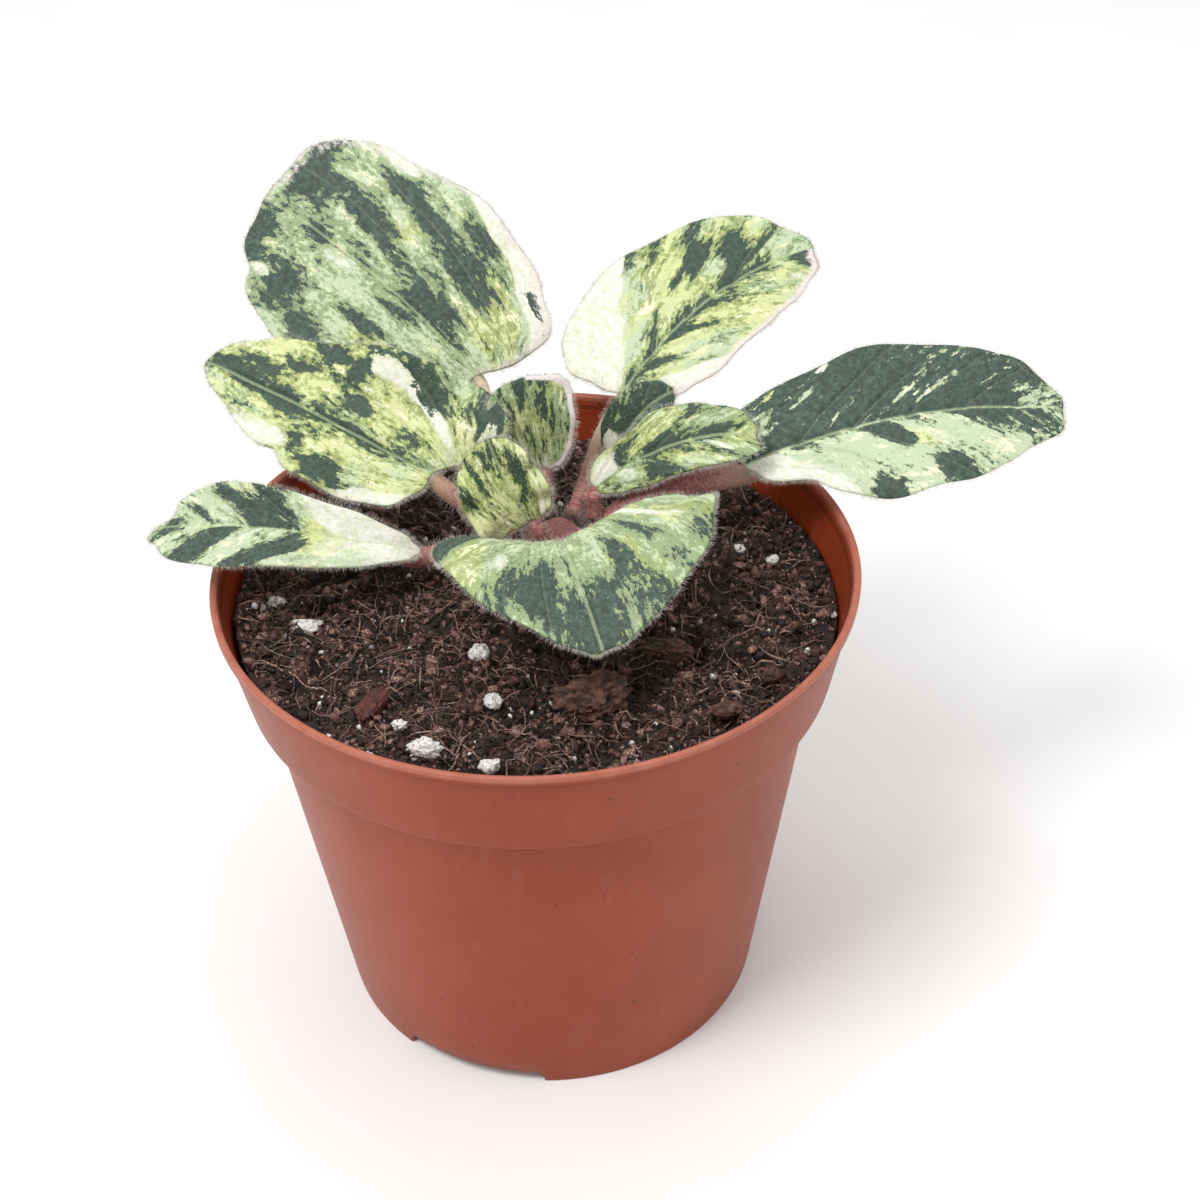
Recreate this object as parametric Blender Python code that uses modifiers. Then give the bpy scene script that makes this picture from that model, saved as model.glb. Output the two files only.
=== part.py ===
"""Potted variegated African violet: a nursery pot, its potting soil, a short crown and ten leaves, in metres, +Z up."""

import math
import random

import bpy
import bmesh
from mathutils import Matrix, Vector, noise

MM = 0.001
SEED = 11

# pot, thin injection-moulded plastic, the 9 cm size, axis on Z and foot on z = 0
POT_HEIGHT = 72.3
LIP_RADIUS = 45.0
LIP_HEIGHT = 1.5
BAND_TOP_RADIUS = 44.3
BAND_BOTTOM_RADIUS = 41.9
BAND_BOTTOM_Z = 57.9
BODY_TOP_RADIUS = 39.4
BODY_TOP_Z = 56.4
FOOT_RADIUS = 31.75
FOOT_WIDTH = 1.3
FLOOR_UNDERSIDE_Z = 2.7
FLOOR_TOP_Z = 3.7
WALL = 0.9
POT_SIDES = 48
NOTCH_HEIGHT = 2.2
NOTCH_WIDTH = 20.5
NOTCH_ANGLES = (-114.0, 6.0, 126.0)
DRAIN_RADIUS = 2.6
DRAIN_RING = 18.0
DRAIN_COUNT = 6

# soil, pressed against the wall and a little mounded under the plant
GAP = 0.3
SOIL_EDGE_Z = 65.3
SOIL_MOUND = 0.9
SOIL_ROUGHNESS = 0.8

# crown, the short stem that every leaf stalk starts from
CROWN_CENTRE = (3.0, 10.0)
CROWN_RADIUS = 4.9
CROWN_BOTTOM_Z = 62.2
CROWN_TOP_Z = 73.0

BLADE_THICKNESS = 1.1
STALK_RADIUS = 1.35

# Each leaf: stalk and rib are points along the stalk and the midrib, face is the way the blade looks at
# its base and at its tip, and every pair after that is for the left and the right half seen from above
# with the tip pointing away. half is the half width, fold its angle in degrees, lobe how far the base
# lobe reaches back, curl and lift how far the edge and the lobe rise. grid is the mesh density.
LEAVES = {
    "leaf_back_left": {
        "stalk": ((1.2, 15.2, 68.9), (-2.0, 24.0, 72.0), (-6.0, 31.0, 76.0)),
        "rib": ((-9.2, 38.0, 82.3), (-17.0, 44.5, 88.0), (-27.0, 53.0, 96.0), (-39.0, 60.0, 99.5)),
        "face": ((0.25, -0.62, 0.8), (0.2, -0.62, 0.8)),
        "half": (18.5, 20.5), "fold": (8, 8), "lobe": (6, 9), "taper": -0.02, "point": 0.0,
        "curl": (0, 0), "wave": (0.7, 2.4, 0.5), "lift": (0, 0), "grid": 16,
    },
    "leaf_left": {
        "stalk": ((-2.75, 10.4, 70.4), (-7.0, 10.5, 73.0), (-11.0, 11.0, 76.0)),
        "rib": ((-14.3, 12.0, 79.5), (-24.0, 17.0, 82.5), (-35.0, 24.0, 86.0), (-46.5, 31.5, 86.0)),
        "face": ((-0.1, -0.45, 0.9), (-0.1, -0.4, 0.9)),
        "half": (10.3, 10.8), "fold": (8, 12), "lobe": (4, 18), "taper": 0.12, "point": 0.1,
        "curl": (0, 1.5), "wave": (0.9, 2.3, 0.2), "lift": (0, 4), "grid": 14,
    },
    "leaf_back_right": {
        "stalk": ((6.0, 15.1, 68.9), (8.2, 19.0, 72.8), (11.0, 24.0, 77.5)),
        "rib": ((13.8, 28.0, 81.5), (20.0, 34.5, 87.0), (30.0, 43.0, 93.0), (44.6, 49.5, 93.0)),
        "face": ((-0.35, -0.5, 0.8), (-0.15, -0.5, 0.85)),
        "half": (14.6, 11.0), "fold": (8, 12), "lobe": (9, 4), "taper": 0.04, "point": 0.0,
        "curl": (0, 0), "wave": (0.6, 2.2, 0.2), "lift": (0, 0), "grid": 14,
    },
    "leaf_right": {
        "stalk": ((8.7, 10.3, 68.4), (14.0, 10.7, 73.5), (22.0, 10.9, 76.5)),
        "rib": ((30.5, 11.0, 79.5), (45.0, 12.5, 84.5), (60.0, 14.5, 87.0), (76.3, 15.0, 83.5)),
        "face": ((0.0, -0.45, 0.9), (0.0, -0.3, 0.9)),
        "half": (12.2, 11.6), "fold": (8, 4), "lobe": (3, 0), "taper": -0.08, "point": 0.0,
        "curl": (0, -1), "wave": (0.6, 2.2, 0.2), "lift": (0, 0), "grid": 14,
    },
    "leaf_lower_left": {
        "stalk": ((-2.3, 8.2, 68.4), (-6.0, 6.7, 69.6), (-11.0, 5.0, 70.8)),
        "rib": ((-16.0, 4.0, 72.0), (-30.0, 1.2, 77.5), (-42.0, 2.0, 80.5), (-53.5, 3.0, 78.0)),
        "face": ((0.0, -0.35, 0.9), (0.0, -0.35, 0.9)),
        "half": (7.6, 6.4), "fold": (20, 35), "lobe": (0, 0), "taper": -0.3, "point": 0.0,
        "curl": (0, 0), "wave": (0.4, 2.0, 0.2), "lift": (0, 0), "grid": 12,
    },
    "leaf_front": {
        "stalk": ((3.2, 4.1, 69.2), (3.4, 0.8, 72.6), (3.4, -2.0, 77.0)),
        "rib": ((3.6, -5.6, 80.5), (4.2, -12.0, 82.5), (5.8, -20.0, 81.5), (8.0, -27.0, 77.0)),
        "face": ((-0.2, 0.1, 1.0), (-0.1, -0.1, 1.0)),
        "half": (20.0, 14.5), "fold": (5, 0), "lobe": (11, 7), "taper": 0.28, "point": 0.4,
        "curl": (-1, -1.5), "wave": (0.5, 2.2, 0.2), "lift": (2, 0), "grid": 14,
    },
    "young_leaf_back": {
        "stalk": ((2.0, 15.9, 71.8), (2.0, 16.0, 74.0), (2.0, 15.9, 75.5)),
        "rib": ((1.8, 15.8, 77.0), (1.0, 16.0, 82.0), (-0.5, 17.0, 88.0), (-1.4, 18.4, 90.4)),
        "face": ((-0.05, -0.9, 0.4), (0.0, -0.9, 0.5)),
        "half": (6.5, 5.5), "fold": (25, 25), "lobe": (2, 2), "taper": 0.1, "point": 0.0,
        "curl": (0, 0), "wave": (0.3, 2.2, 0.2), "lift": (0, 0), "grid": 10,
    },
    "young_leaf_front": {
        "stalk": ((1.2, 4.9, 72.0), (1.0, 4.2, 73.3), (0.6, 4.0, 74.6)),
        "rib": ((0.2, 4.0, 76.0), (-1.6, 3.8, 79.0), (-3.2, 4.6, 83.0), (-4.6, 7.0, 86.4)),
        "face": ((0.0, -0.9, 0.5), (0.0, -0.9, 0.5)),
        "half": (7.4, 7.0), "fold": (15, 20), "lobe": (3, 2), "taper": 0.0, "point": 0.0,
        "curl": (0, 0), "wave": (0.7, 3.0, 0.2), "lift": (0, 0), "grid": 10,
    },
    "young_leaf_right": {
        "stalk": ((8.7, 10.4, 72.0), (8.8, 10.8, 73.6), (8.8, 11.0, 74.8)),
        "rib": ((8.8, 11.2, 76.4), (14.0, 12.0, 80.5), (22.0, 11.0, 85.5), (31.5, 9.6, 85.5)),
        "face": ((-0.1, -0.6, 0.8), (0.0, -0.6, 0.8)),
        "half": (7.0, 4.2), "fold": (12, 12), "lobe": (2, 0), "taper": -0.1, "point": 0.1,
        "curl": (0, 0), "wave": (0.5, 2.2, 0.2), "lift": (0, 0), "grid": 10,
    },
    "smallest_leaf": {
        "stalk": ((7.2, 14.2, 72.0), (9.4, 16.4, 73.2), (11.2, 18.2, 74.4)),
        "rib": ((12.4, 19.4, 75.8), (14.0, 20.2, 79.0), (16.8, 21.2, 82.0), (20.2, 22.2, 82.6)),
        "face": ((-0.1, -0.7, 0.6), (0.0, -0.7, 0.6)),
        "half": (3.8, 3.6), "fold": (15, 15), "lobe": (1, 1), "taper": 0.1, "point": 0.1,
        "curl": (0, 0), "wave": (0.2, 2.2, 0.2), "lift": (0, 0), "grid": 8,
    },
}

# white perlite grains lying on the soil: x, y, length, width, height, turn in degrees
PERLITE = (
    (-36.5, 0.6, 3.0, 2.4, 1.9, 20), (-32.2, -5.8, 4.6, 2.7, 2.2, 5), (-8.2, -13.8, 3.0, 3.8, 2.6, 30),
    (-6.4, -23.8, 2.8, 3.2, 2.2, -25), (-15.4, -32.0, 5.2, 3.0, 2.6, -12), (-7.0, -36.0, 3.2, 2.2, 2.0, 10),
    (-18.6, -26.8, 2.2, 1.8, 1.5, 0), (29.6, 9.0, 2.0, 1.7, 1.4, 40), (34.0, 6.0, 1.9, 1.6, 1.4, 0),
    (17.8, 20.5, 4.2, 3.0, 2.4, 15),
)

# bark chips and lumps of peat lying on the soil: x, y, length, width, height, turn, roughness
LUMPS = {
    "bark_chip": (-22.4, -23.0, 7.0, 3.4, 2.0, 62, 0.12),
    "peat_lump_front": (6.3, -24.6, 9.5, 7.5, 3.6, 25, 0.28),
    "peat_lump_right": (17.0, -14.6, 7.0, 4.6, 2.6, -20, 0.25),
    "wood_chip_right": (24.0, -27.4, 5.0, 2.8, 2.0, 10, 0.18),
    "wood_chip_far": (30.5, -20.5, 3.6, 2.6, 1.8, 70, 0.18),
}


def empty_scene():
    for thing in list(bpy.data.objects):
        bpy.data.objects.remove(thing)


def collection_named(name, hidden=False):
    collection = bpy.data.collections.new(name)
    bpy.context.scene.collection.children.link(collection)
    collection.hide_render = hidden
    return collection


def material_named(name, colour, roughness):
    material = bpy.data.materials.new(name)
    material.use_nodes = True
    shader = material.node_tree.nodes["Principled BSDF"]
    shader.inputs["Base Color"].default_value = (*colour, 1.0)
    shader.inputs["Roughness"].default_value = roughness
    shader.inputs["Metallic"].default_value = 0.0
    return material


def object_from(name, mesh, collection, material=None):
    item = bpy.data.objects.new(name, mesh)
    collection.objects.link(item)
    if material:
        mesh.materials.clear()
        mesh.materials.append(material)
    return item


def mesh_from(name, form):
    mesh = bpy.data.meshes.new(name)
    bmesh.ops.recalc_face_normals(form, faces=form.faces)
    form.to_mesh(mesh)
    form.free()
    return mesh


def baked(item, name, collection, material):
    """The object with its modifiers made real, welded, under a new name."""
    graph = bpy.context.evaluated_depsgraph_get()
    mesh = bpy.data.meshes.new_from_object(item.evaluated_get(graph))
    form = bmesh.new()
    form.from_mesh(mesh)
    bmesh.ops.remove_doubles(form, verts=form.verts, dist=0.00001)
    bmesh.ops.recalc_face_normals(form, faces=form.faces)
    form.to_mesh(mesh)
    form.free()
    made = object_from(name, mesh, collection, material)
    made.matrix_world = item.matrix_world
    bpy.data.objects.remove(item)
    return made


def turned(name, profile, sides, collection, material):
    """A profile at +X swept once round Z with a Screw modifier; radii and heights in mm."""
    mesh = bpy.data.meshes.new(name)
    points = [(radius * MM, 0.0, height * MM) for radius, height in profile]
    edges = [(i, i + 1) for i in range(len(points) - 1)]
    mesh.from_pydata(points, edges, [])
    item = bpy.data.objects.new(name + "_profile", mesh)
    collection.objects.link(item)
    screw = item.modifiers.new("Turn", "SCREW")
    screw.steps = sides
    screw.render_steps = sides
    screw.use_merge_vertices = True
    screw.merge_threshold = 0.00001
    screw.use_normal_calculate = True
    bpy.context.view_layer.update()
    return baked(item, name, collection, material)


def joined(item, other, operation):
    """A Boolean modifier on item, whose other operand is other."""
    cut = item.modifiers.new(operation.title(), "BOOLEAN")
    cut.operation = operation
    cut.solver = "EXACT"
    cut.object = other
    return cut


def helper(item, cutters):
    item.display_type = "WIRE"
    item.hide_render = True
    return item


def inner_radius(height):
    """Inside radius of the pot at a height."""
    if height < BODY_TOP_Z:
        share = (height - FLOOR_TOP_Z) / (BODY_TOP_Z - FLOOR_TOP_Z)
        low = FOOT_RADIUS - WALL + (BODY_TOP_RADIUS - FOOT_RADIUS) * FLOOR_TOP_Z / BODY_TOP_Z
        return low + share * (BODY_TOP_RADIUS - WALL - low)
    share = (height - BAND_BOTTOM_Z) / (POT_HEIGHT - BAND_BOTTOM_Z)
    low = BAND_BOTTOM_RADIUS - WALL
    return low + max(share, 0.0) * (BAND_TOP_RADIUS - WALL - low)


def build_pot(parts, cutters, plastic):
    lip_bottom = POT_HEIGHT - LIP_HEIGHT
    profile = [
        (LIP_RADIUS - 0.45, POT_HEIGHT),
        (LIP_RADIUS - 0.12, POT_HEIGHT - 0.18),
        (LIP_RADIUS, POT_HEIGHT - 0.5),
        (LIP_RADIUS, lip_bottom + 0.25),
        (LIP_RADIUS - 0.2, lip_bottom),
        (BAND_TOP_RADIUS, lip_bottom - 0.1),
        (BAND_BOTTOM_RADIUS, BAND_BOTTOM_Z),
        (BAND_BOTTOM_RADIUS - 0.45, BAND_BOTTOM_Z - 0.7),
        (BODY_TOP_RADIUS + 0.3, BODY_TOP_Z + 0.1),
        (BODY_TOP_RADIUS, BODY_TOP_Z - 0.5),
        (FOOT_RADIUS + 0.2, 1.2),
        (FOOT_RADIUS, 0.0),
        (FOOT_RADIUS - FOOT_WIDTH, 0.0),
        (FOOT_RADIUS - FOOT_WIDTH - 0.15, FLOOR_UNDERSIDE_Z),
        (0.0, FLOOR_UNDERSIDE_Z),
        (0.0, FLOOR_TOP_Z),
        (inner_radius(FLOOR_TOP_Z) - 0.6, FLOOR_TOP_Z),
        (inner_radius(FLOOR_TOP_Z + 0.6), FLOOR_TOP_Z + 0.6),
        (inner_radius(BODY_TOP_Z - 0.7), BODY_TOP_Z - 0.7),
        (BODY_TOP_RADIUS - WALL + 0.3, BODY_TOP_Z + 0.2),
        (BAND_BOTTOM_RADIUS - WALL - 0.3, BAND_BOTTOM_Z - 0.2),
        (inner_radius(BAND_BOTTOM_Z + 0.5), BAND_BOTTOM_Z + 0.5),
        (inner_radius(lip_bottom), lip_bottom),
        (LIP_RADIUS - 1.25, POT_HEIGHT - 0.3),
        (LIP_RADIUS - 0.9, POT_HEIGHT),
        (LIP_RADIUS - 0.45, POT_HEIGHT),
    ]
    pot = turned("pot_body", profile, POT_SIDES, parts, plastic)
    for number, angle in enumerate(NOTCH_ANGLES):
        form = bmesh.new()
        bmesh.ops.create_cube(form, size=1.0)
        bmesh.ops.scale(form, verts=form.verts, vec=Vector((8.0, NOTCH_WIDTH, NOTCH_HEIGHT + 4.0)) * MM)
        bmesh.ops.translate(
            form, verts=form.verts, vec=Vector((FOOT_RADIUS - 1.0, 0.0, NOTCH_HEIGHT / 2 - 2.0)) * MM
        )
        turn = Matrix.Rotation(math.radians(angle), 3, "Z")
        bmesh.ops.rotate(form, verts=form.verts, cent=(0, 0, 0), matrix=turn)
        block = object_from(f"notch_cutter_{number}", mesh_from("notch_cutter", form), cutters)
        joined(pot, helper(block, cutters), "DIFFERENCE")
    for number in range(DRAIN_COUNT + 1):
        ring = DRAIN_RING if number else 0.0
        angle = math.radians(360.0 / DRAIN_COUNT * number + 20.0)
        form = bmesh.new()
        bmesh.ops.create_cone(
            form, cap_ends=True, segments=14, radius1=DRAIN_RADIUS * MM, radius2=DRAIN_RADIUS * MM, depth=6 * MM
        )
        place = Vector((ring * math.cos(angle), ring * math.sin(angle), 3.2)) * MM
        bmesh.ops.translate(form, verts=form.verts, vec=place)
        drill = object_from(f"drain_cutter_{number}", mesh_from("drain_cutter", form), cutters)
        joined(pot, helper(drill, cutters), "DIFFERENCE")
    bpy.context.view_layer.update()
    return baked(pot, "pot", parts, plastic)


def soil_height(x, y):
    """Height of the soil in mm: a low mound under the plant, with lumps and hollows."""
    away = math.hypot(x, y) / 43.0
    mound = SOIL_MOUND * (1.0 - away * away)
    lumps = noise.noise(Vector((x * 0.11, y * 0.11, 3.1))) + 0.5 * noise.noise(Vector((x * 0.3, y * 0.3, 7.7)))
    return SOIL_EDGE_Z + mound + SOIL_ROUGHNESS * lumps


def build_soil(parts, cutters, earth):
    edge = inner_radius(SOIL_EDGE_Z) - GAP
    rings = 11
    profile = [(0.0, SOIL_EDGE_Z)]
    profile += [(edge * (i + 1) / rings, SOIL_EDGE_Z) for i in range(rings)]
    profile += [
        (inner_radius(BAND_BOTTOM_Z + 0.5) - GAP - 0.05, BAND_BOTTOM_Z + 0.5),
        (BODY_TOP_RADIUS - WALL - GAP - 0.1, BODY_TOP_Z + 0.2),
        (inner_radius(BODY_TOP_Z - 0.9) - GAP - 0.1, BODY_TOP_Z - 0.9),
        (inner_radius(FLOOR_TOP_Z + 2.0) - GAP - 0.15, FLOOR_TOP_Z + 2.0),
        (inner_radius(FLOOR_TOP_Z) - 2.0, FLOOR_TOP_Z + GAP),
        (0.0, FLOOR_TOP_Z + GAP),
    ]
    soil = turned("soil_body", profile, POT_SIDES, parts, earth)
    for vertex in soil.data.vertices:
        if vertex.co.z > (SOIL_EDGE_Z - 0.1) * MM:
            vertex.co.z = soil_height(vertex.co.x / MM, vertex.co.y / MM) * MM
    form = bmesh.new()
    bmesh.ops.create_cone(
        form, cap_ends=True, segments=16, depth=12 * MM,
        radius1=(CROWN_RADIUS + 0.4) * MM, radius2=(CROWN_RADIUS + 0.4) * MM,
    )
    place = Vector((CROWN_CENTRE[0], CROWN_CENTRE[1], CROWN_BOTTOM_Z - GAP + 6.0)) * MM
    bmesh.ops.translate(form, verts=form.verts, vec=place)
    hole = object_from("crown_cutter", mesh_from("crown_cutter", form), cutters)
    joined(soil, helper(hole, cutters), "DIFFERENCE")
    bpy.context.view_layer.update()
    return baked(soil, "potting_soil", parts, earth)


def build_crown(parts, stem):
    """A stub with a rounded top."""
    form = bmesh.new()
    height = CROWN_TOP_Z - 1.5 - CROWN_BOTTOM_Z
    bmesh.ops.create_cone(
        form, cap_ends=True, segments=16, depth=height * MM,
        radius1=(CROWN_RADIUS - 0.6) * MM, radius2=CROWN_RADIUS * MM,
    )
    place = Vector((CROWN_CENTRE[0], CROWN_CENTRE[1], CROWN_BOTTOM_Z + height / 2)) * MM
    bmesh.ops.translate(form, verts=form.verts, vec=place)
    top = [face for face in form.faces if face.calc_center_median().z > (CROWN_TOP_Z - 1.7) * MM]
    for inset, rise in ((0.9, 0.8), (1.6, 0.5), (1.4, 0.2)):
        bmesh.ops.inset_region(form, faces=top, thickness=inset * MM, depth=0.0)
        top = [face for face in form.faces if face.normal.z > 0.9 and len(face.verts) == 16]
        bmesh.ops.translate(form, verts=top[0].verts, vec=(0, 0, rise * MM))
    return object_from("crown_stem", mesh_from("crown_stem", form), parts, stem)


def rib_point(rib, share):
    """Point and direction on the midrib, a cubic from base to tip, run on straight behind the base."""
    a, b, c, d = (Vector(point) for point in rib)
    t = min(max(share, 0.0), 1.0)
    point = (1 - t) ** 3 * a + 3 * (1 - t) ** 2 * t * b + 3 * (1 - t) * t * t * c + t ** 3 * d
    along = 3 * (1 - t) ** 2 * (b - a) + 6 * (1 - t) * t * (c - b) + 3 * t * t * (d - c)
    if share < 0:
        point = point + along * share
    return point, along.normalized()


def blade_point(leaf, x, y):
    """Point of the blade for (x, y) in a unit disc, y from base to tip; mm."""
    side = 1 if x > 0 else 0
    rib = leaf["rib"]
    length = sum((Vector(rib[i + 1]) - Vector(rib[i])).length for i in range(3))
    along = 0.5 * (1.0 + y)
    back = 1.0 - along
    share = along - leaf["lobe"][side] / length * abs(x) ** 1.3 * back ** 1.5
    point = max(0.0, (y - 0.2) / 0.8)
    across = leaf["half"][side] * x * (1 - leaf["taper"] * y) * (1 - leaf["point"] * point * point)
    place, ahead = rib_point(rib, share)
    mix = min(max(share, 0.0), 1.0)
    face = Vector(leaf["face"][0]).lerp(Vector(leaf["face"][1]), mix)
    up = (face - face.dot(ahead) * ahead).normalized()
    sideways = ahead.cross(up)
    fold = math.radians(leaf["fold"][side])
    edge = abs(across / leaf["half"][side])
    rise = math.copysign(math.hypot(across * math.sin(fold), 1.5) - 1.5, fold)
    rise += leaf["curl"][side] * edge ** 3 + leaf["lift"][side] * edge ** 1.5 * back * back
    size, count, start = leaf["wave"]
    rise += size * edge * edge * math.sin(2 * math.pi * count * along + start + (0.0 if side else 1.3))
    return place + sideways * across * math.cos(fold) + up * rise


def build_leaf(name, leaf, parts, cutters, green):
    """Blade: a grid bent to the leaf and thickened. Stalk: a tapering tube that runs on as the midrib."""
    form = bmesh.new()
    bmesh.ops.create_grid(form, x_segments=leaf["grid"], y_segments=leaf["grid"], size=1.0)
    for vertex in form.verts:
        a, b = vertex.co.x, vertex.co.y
        x = a * math.sqrt(1 - b * b / 2)
        y = b * math.sqrt(1 - a * a / 2)
        vertex.co = blade_point(leaf, x, y) * MM
    form.normal_update()
    mesh = bpy.data.meshes.new(name)
    form.to_mesh(mesh)
    form.free()
    blade = object_from(name + "_blade", mesh, parts, green)
    shell = blade.modifiers.new("Thickness", "SOLIDIFY")
    shell.thickness = BLADE_THICKNESS * MM
    shell.offset = 0.0
    shell.use_even_offset = True
    bpy.context.view_layer.update()
    blade = baked(blade, name + "_blade", parts, green)

    size = min(1.0, leaf["half"][0] / 12.0 + 0.25)
    radius = STALK_RADIUS * size
    path = [(Vector(point), radius) for point in leaf["stalk"]]
    for share in (0.0, 0.12, 0.26, 0.42, 0.6):
        point, ahead = rib_point(leaf["rib"], share)
        face = Vector(leaf["face"][0])
        up = (face - face.dot(ahead) * ahead).normalized()
        narrow = radius * (1.0 - 0.85 * share)
        path.append((point - up * (narrow * 0.55), narrow))
    curve = bpy.data.curves.new(name + "_stalk", "CURVE")
    curve.dimensions = "3D"
    curve.bevel_depth = MM
    curve.bevel_resolution = 1
    curve.use_fill_caps = True
    spline = curve.splines.new("POLY")
    spline.points.add(len(path) - 1)
    for point, (place, thick) in zip(spline.points, path):
        point.co = (*(place * MM), 1.0)
        point.radius = thick
    tube = bpy.data.objects.new(name + "_stalk", curve)
    parts.objects.link(tube)
    bpy.context.view_layer.update()
    stalk = baked(tube, name + "_tube", cutters, None)
    joined(blade, helper(stalk, cutters), "UNION")
    bpy.context.view_layer.update()
    return baked(blade, name, parts, green)


def build_stone(name, values, rough, seed, parts, material):
    """A grain on the soil: a small sphere stretched, dented and laid 0.3 mm above the highest soil under it."""
    x, y, length, width, height, turn = values
    form = bmesh.new()
    bmesh.ops.create_icosphere(form, subdivisions=2, radius=1.0)
    for vertex in form.verts:
        dent = noise.noise(vertex.co * 1.6 + Vector((seed * 3.7, 0.0, 0.0)))
        vertex.co *= 1.0 + rough * 2.0 * dent
    bmesh.ops.scale(form, verts=form.verts, vec=Vector((length / 2, width / 2, height / 2)) * MM)
    bmesh.ops.rotate(
        form, verts=form.verts, cent=(0, 0, 0), matrix=Matrix.Rotation(math.radians(turn), 3, "Z")
    )
    bmesh.ops.translate(form, verts=form.verts, vec=Vector((x, y, 0.0)) * MM)
    return object_from(name, mesh_from(name, form), parts, material)


def seat(item, soil, gap):
    """Lowers the item onto the soil until the nearest points are a gap apart."""
    heights = []
    for vertex in item.data.vertices:
        start = Vector((vertex.co.x, vertex.co.y, 0.2))
        hit, place, _, _ = soil.ray_cast(start, Vector((0, 0, -1)))
        if hit:
            heights.append(vertex.co.z - place.z)
    drop = min(heights) - gap * MM
    for vertex in item.data.vertices:
        vertex.co.z -= drop


def centre_on_origin(parts):
    """Moves the whole plant so that the middle of its bounding box's underside is the origin."""
    corners = [v.co for item in parts.objects for v in item.data.vertices]
    low = Vector([min(c[i] for c in corners) for i in range(3)])
    high = Vector([max(c[i] for c in corners) for i in range(3)])
    shift = Vector((-(low.x + high.x) / 2, -(low.y + high.y) / 2, -low.z))
    for item in parts.objects:
        item.data.transform(Matrix.Translation(shift))
        item.data.update()


def main():
    empty_scene()
    random.seed(SEED)
    parts = collection_named("potted_african_violet")
    cutters = collection_named("cutters", hidden=True)
    plastic = material_named("terracotta_plastic", (0.34, 0.085, 0.042), 0.42)
    earth = material_named("potting_soil", (0.045, 0.024, 0.016), 0.95)
    green = material_named("variegated_leaf", (0.30, 0.42, 0.25), 0.6)
    stem = material_named("crown_stem", (0.30, 0.13, 0.10), 0.6)
    perlite = material_named("perlite", (0.78, 0.76, 0.73), 0.9)
    bark = material_named("bark", (0.13, 0.045, 0.027), 0.85)

    build_pot(parts, cutters, plastic)
    soil = build_soil(parts, cutters, earth)
    build_crown(parts, stem)
    for name, leaf in LEAVES.items():
        build_leaf(name, leaf, parts, cutters, green)
    for number, grain in enumerate(PERLITE, 1):
        stone = build_stone(f"perlite_{number:02d}", grain, 0.14, number, parts, perlite)
        seat(stone, soil, GAP)
    for number, (name, values) in enumerate(LUMPS.items(), 40):
        lump = build_stone(name, values[:6], values[6], number, parts, bark)
        seat(lump, soil, GAP)
    for item in list(cutters.objects):
        bpy.data.objects.remove(item)
    centre_on_origin(parts)


main()
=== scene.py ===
import math

import bpy
import numpy as np
from mathutils import Matrix, Vector


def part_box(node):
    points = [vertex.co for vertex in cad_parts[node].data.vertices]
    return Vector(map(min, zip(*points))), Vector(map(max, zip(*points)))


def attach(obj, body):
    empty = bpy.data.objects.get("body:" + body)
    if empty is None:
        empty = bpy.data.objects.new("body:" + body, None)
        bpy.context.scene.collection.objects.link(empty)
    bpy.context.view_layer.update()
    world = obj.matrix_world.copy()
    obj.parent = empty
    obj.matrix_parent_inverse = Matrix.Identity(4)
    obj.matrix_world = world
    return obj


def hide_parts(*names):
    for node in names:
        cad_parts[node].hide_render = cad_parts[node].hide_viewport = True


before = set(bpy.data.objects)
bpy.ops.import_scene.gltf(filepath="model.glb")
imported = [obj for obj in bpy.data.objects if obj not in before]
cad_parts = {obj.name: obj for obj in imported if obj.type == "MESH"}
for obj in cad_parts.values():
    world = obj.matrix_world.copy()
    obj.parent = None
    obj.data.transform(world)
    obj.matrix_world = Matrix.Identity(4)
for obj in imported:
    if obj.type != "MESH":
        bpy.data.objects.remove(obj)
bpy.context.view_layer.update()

potLow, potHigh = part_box("pot")
potAxis = np.array([(potLow[0] + potHigh[0]) / 2, (potLow[1] + potHigh[1]) / 2, 0.0])
mm = 0.001
rng = np.random.default_rng(20)
bpy.context.scene.view_settings.view_transform = "Standard"


def tint(text):
    # sRGB hex to the linear colour that shaders take
    part = np.array([int(text[i:i + 2], 16) / 255 for i in (1, 3, 5)])
    linear = np.where(part <= 0.04045, part / 12.92, ((part + 0.055) / 1.055) ** 2.4)
    return (*[float(v) for v in linear], 1.0)


def putMesh(name, points, faces, material, nodes=(), values=None):
    # points are in mm from the pot's axis; values are per-point vectors the materials read
    mesh = bpy.data.meshes.new(name)
    faces = faces if isinstance(faces, list) else faces.tolist()
    mesh.from_pydata((points * mm + potAxis).tolist(), [], faces)
    mesh.polygons.foreach_set("use_smooth", np.ones(len(mesh.polygons), dtype=bool))
    for label, data in (values or {}).items():
        layer = mesh.attributes.new(label, "FLOAT_VECTOR", "POINT")
        layer.data.foreach_set("vector", np.ascontiguousarray(data, dtype=np.float32).ravel())
    for item in (material if isinstance(material, (list, tuple)) else [material]):
        mesh.materials.append(item)
    mesh.update()
    piece = bpy.data.objects.new(name, mesh)
    bpy.context.scene.collection.objects.link(piece)
    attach(piece, "root")
    if nodes:
        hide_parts(*nodes)
    return piece


def unit(v):
    # each vector divided by its length
    return v / np.maximum(np.linalg.norm(v, axis=-1, keepdims=True), 1e-9)


def smooth(low, high, v):
    # 0 below low, 1 above high, an S curve between
    t = np.clip((v - low) / (high - low), 0, 1)
    return t * t * (3 - 2 * t)


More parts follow.
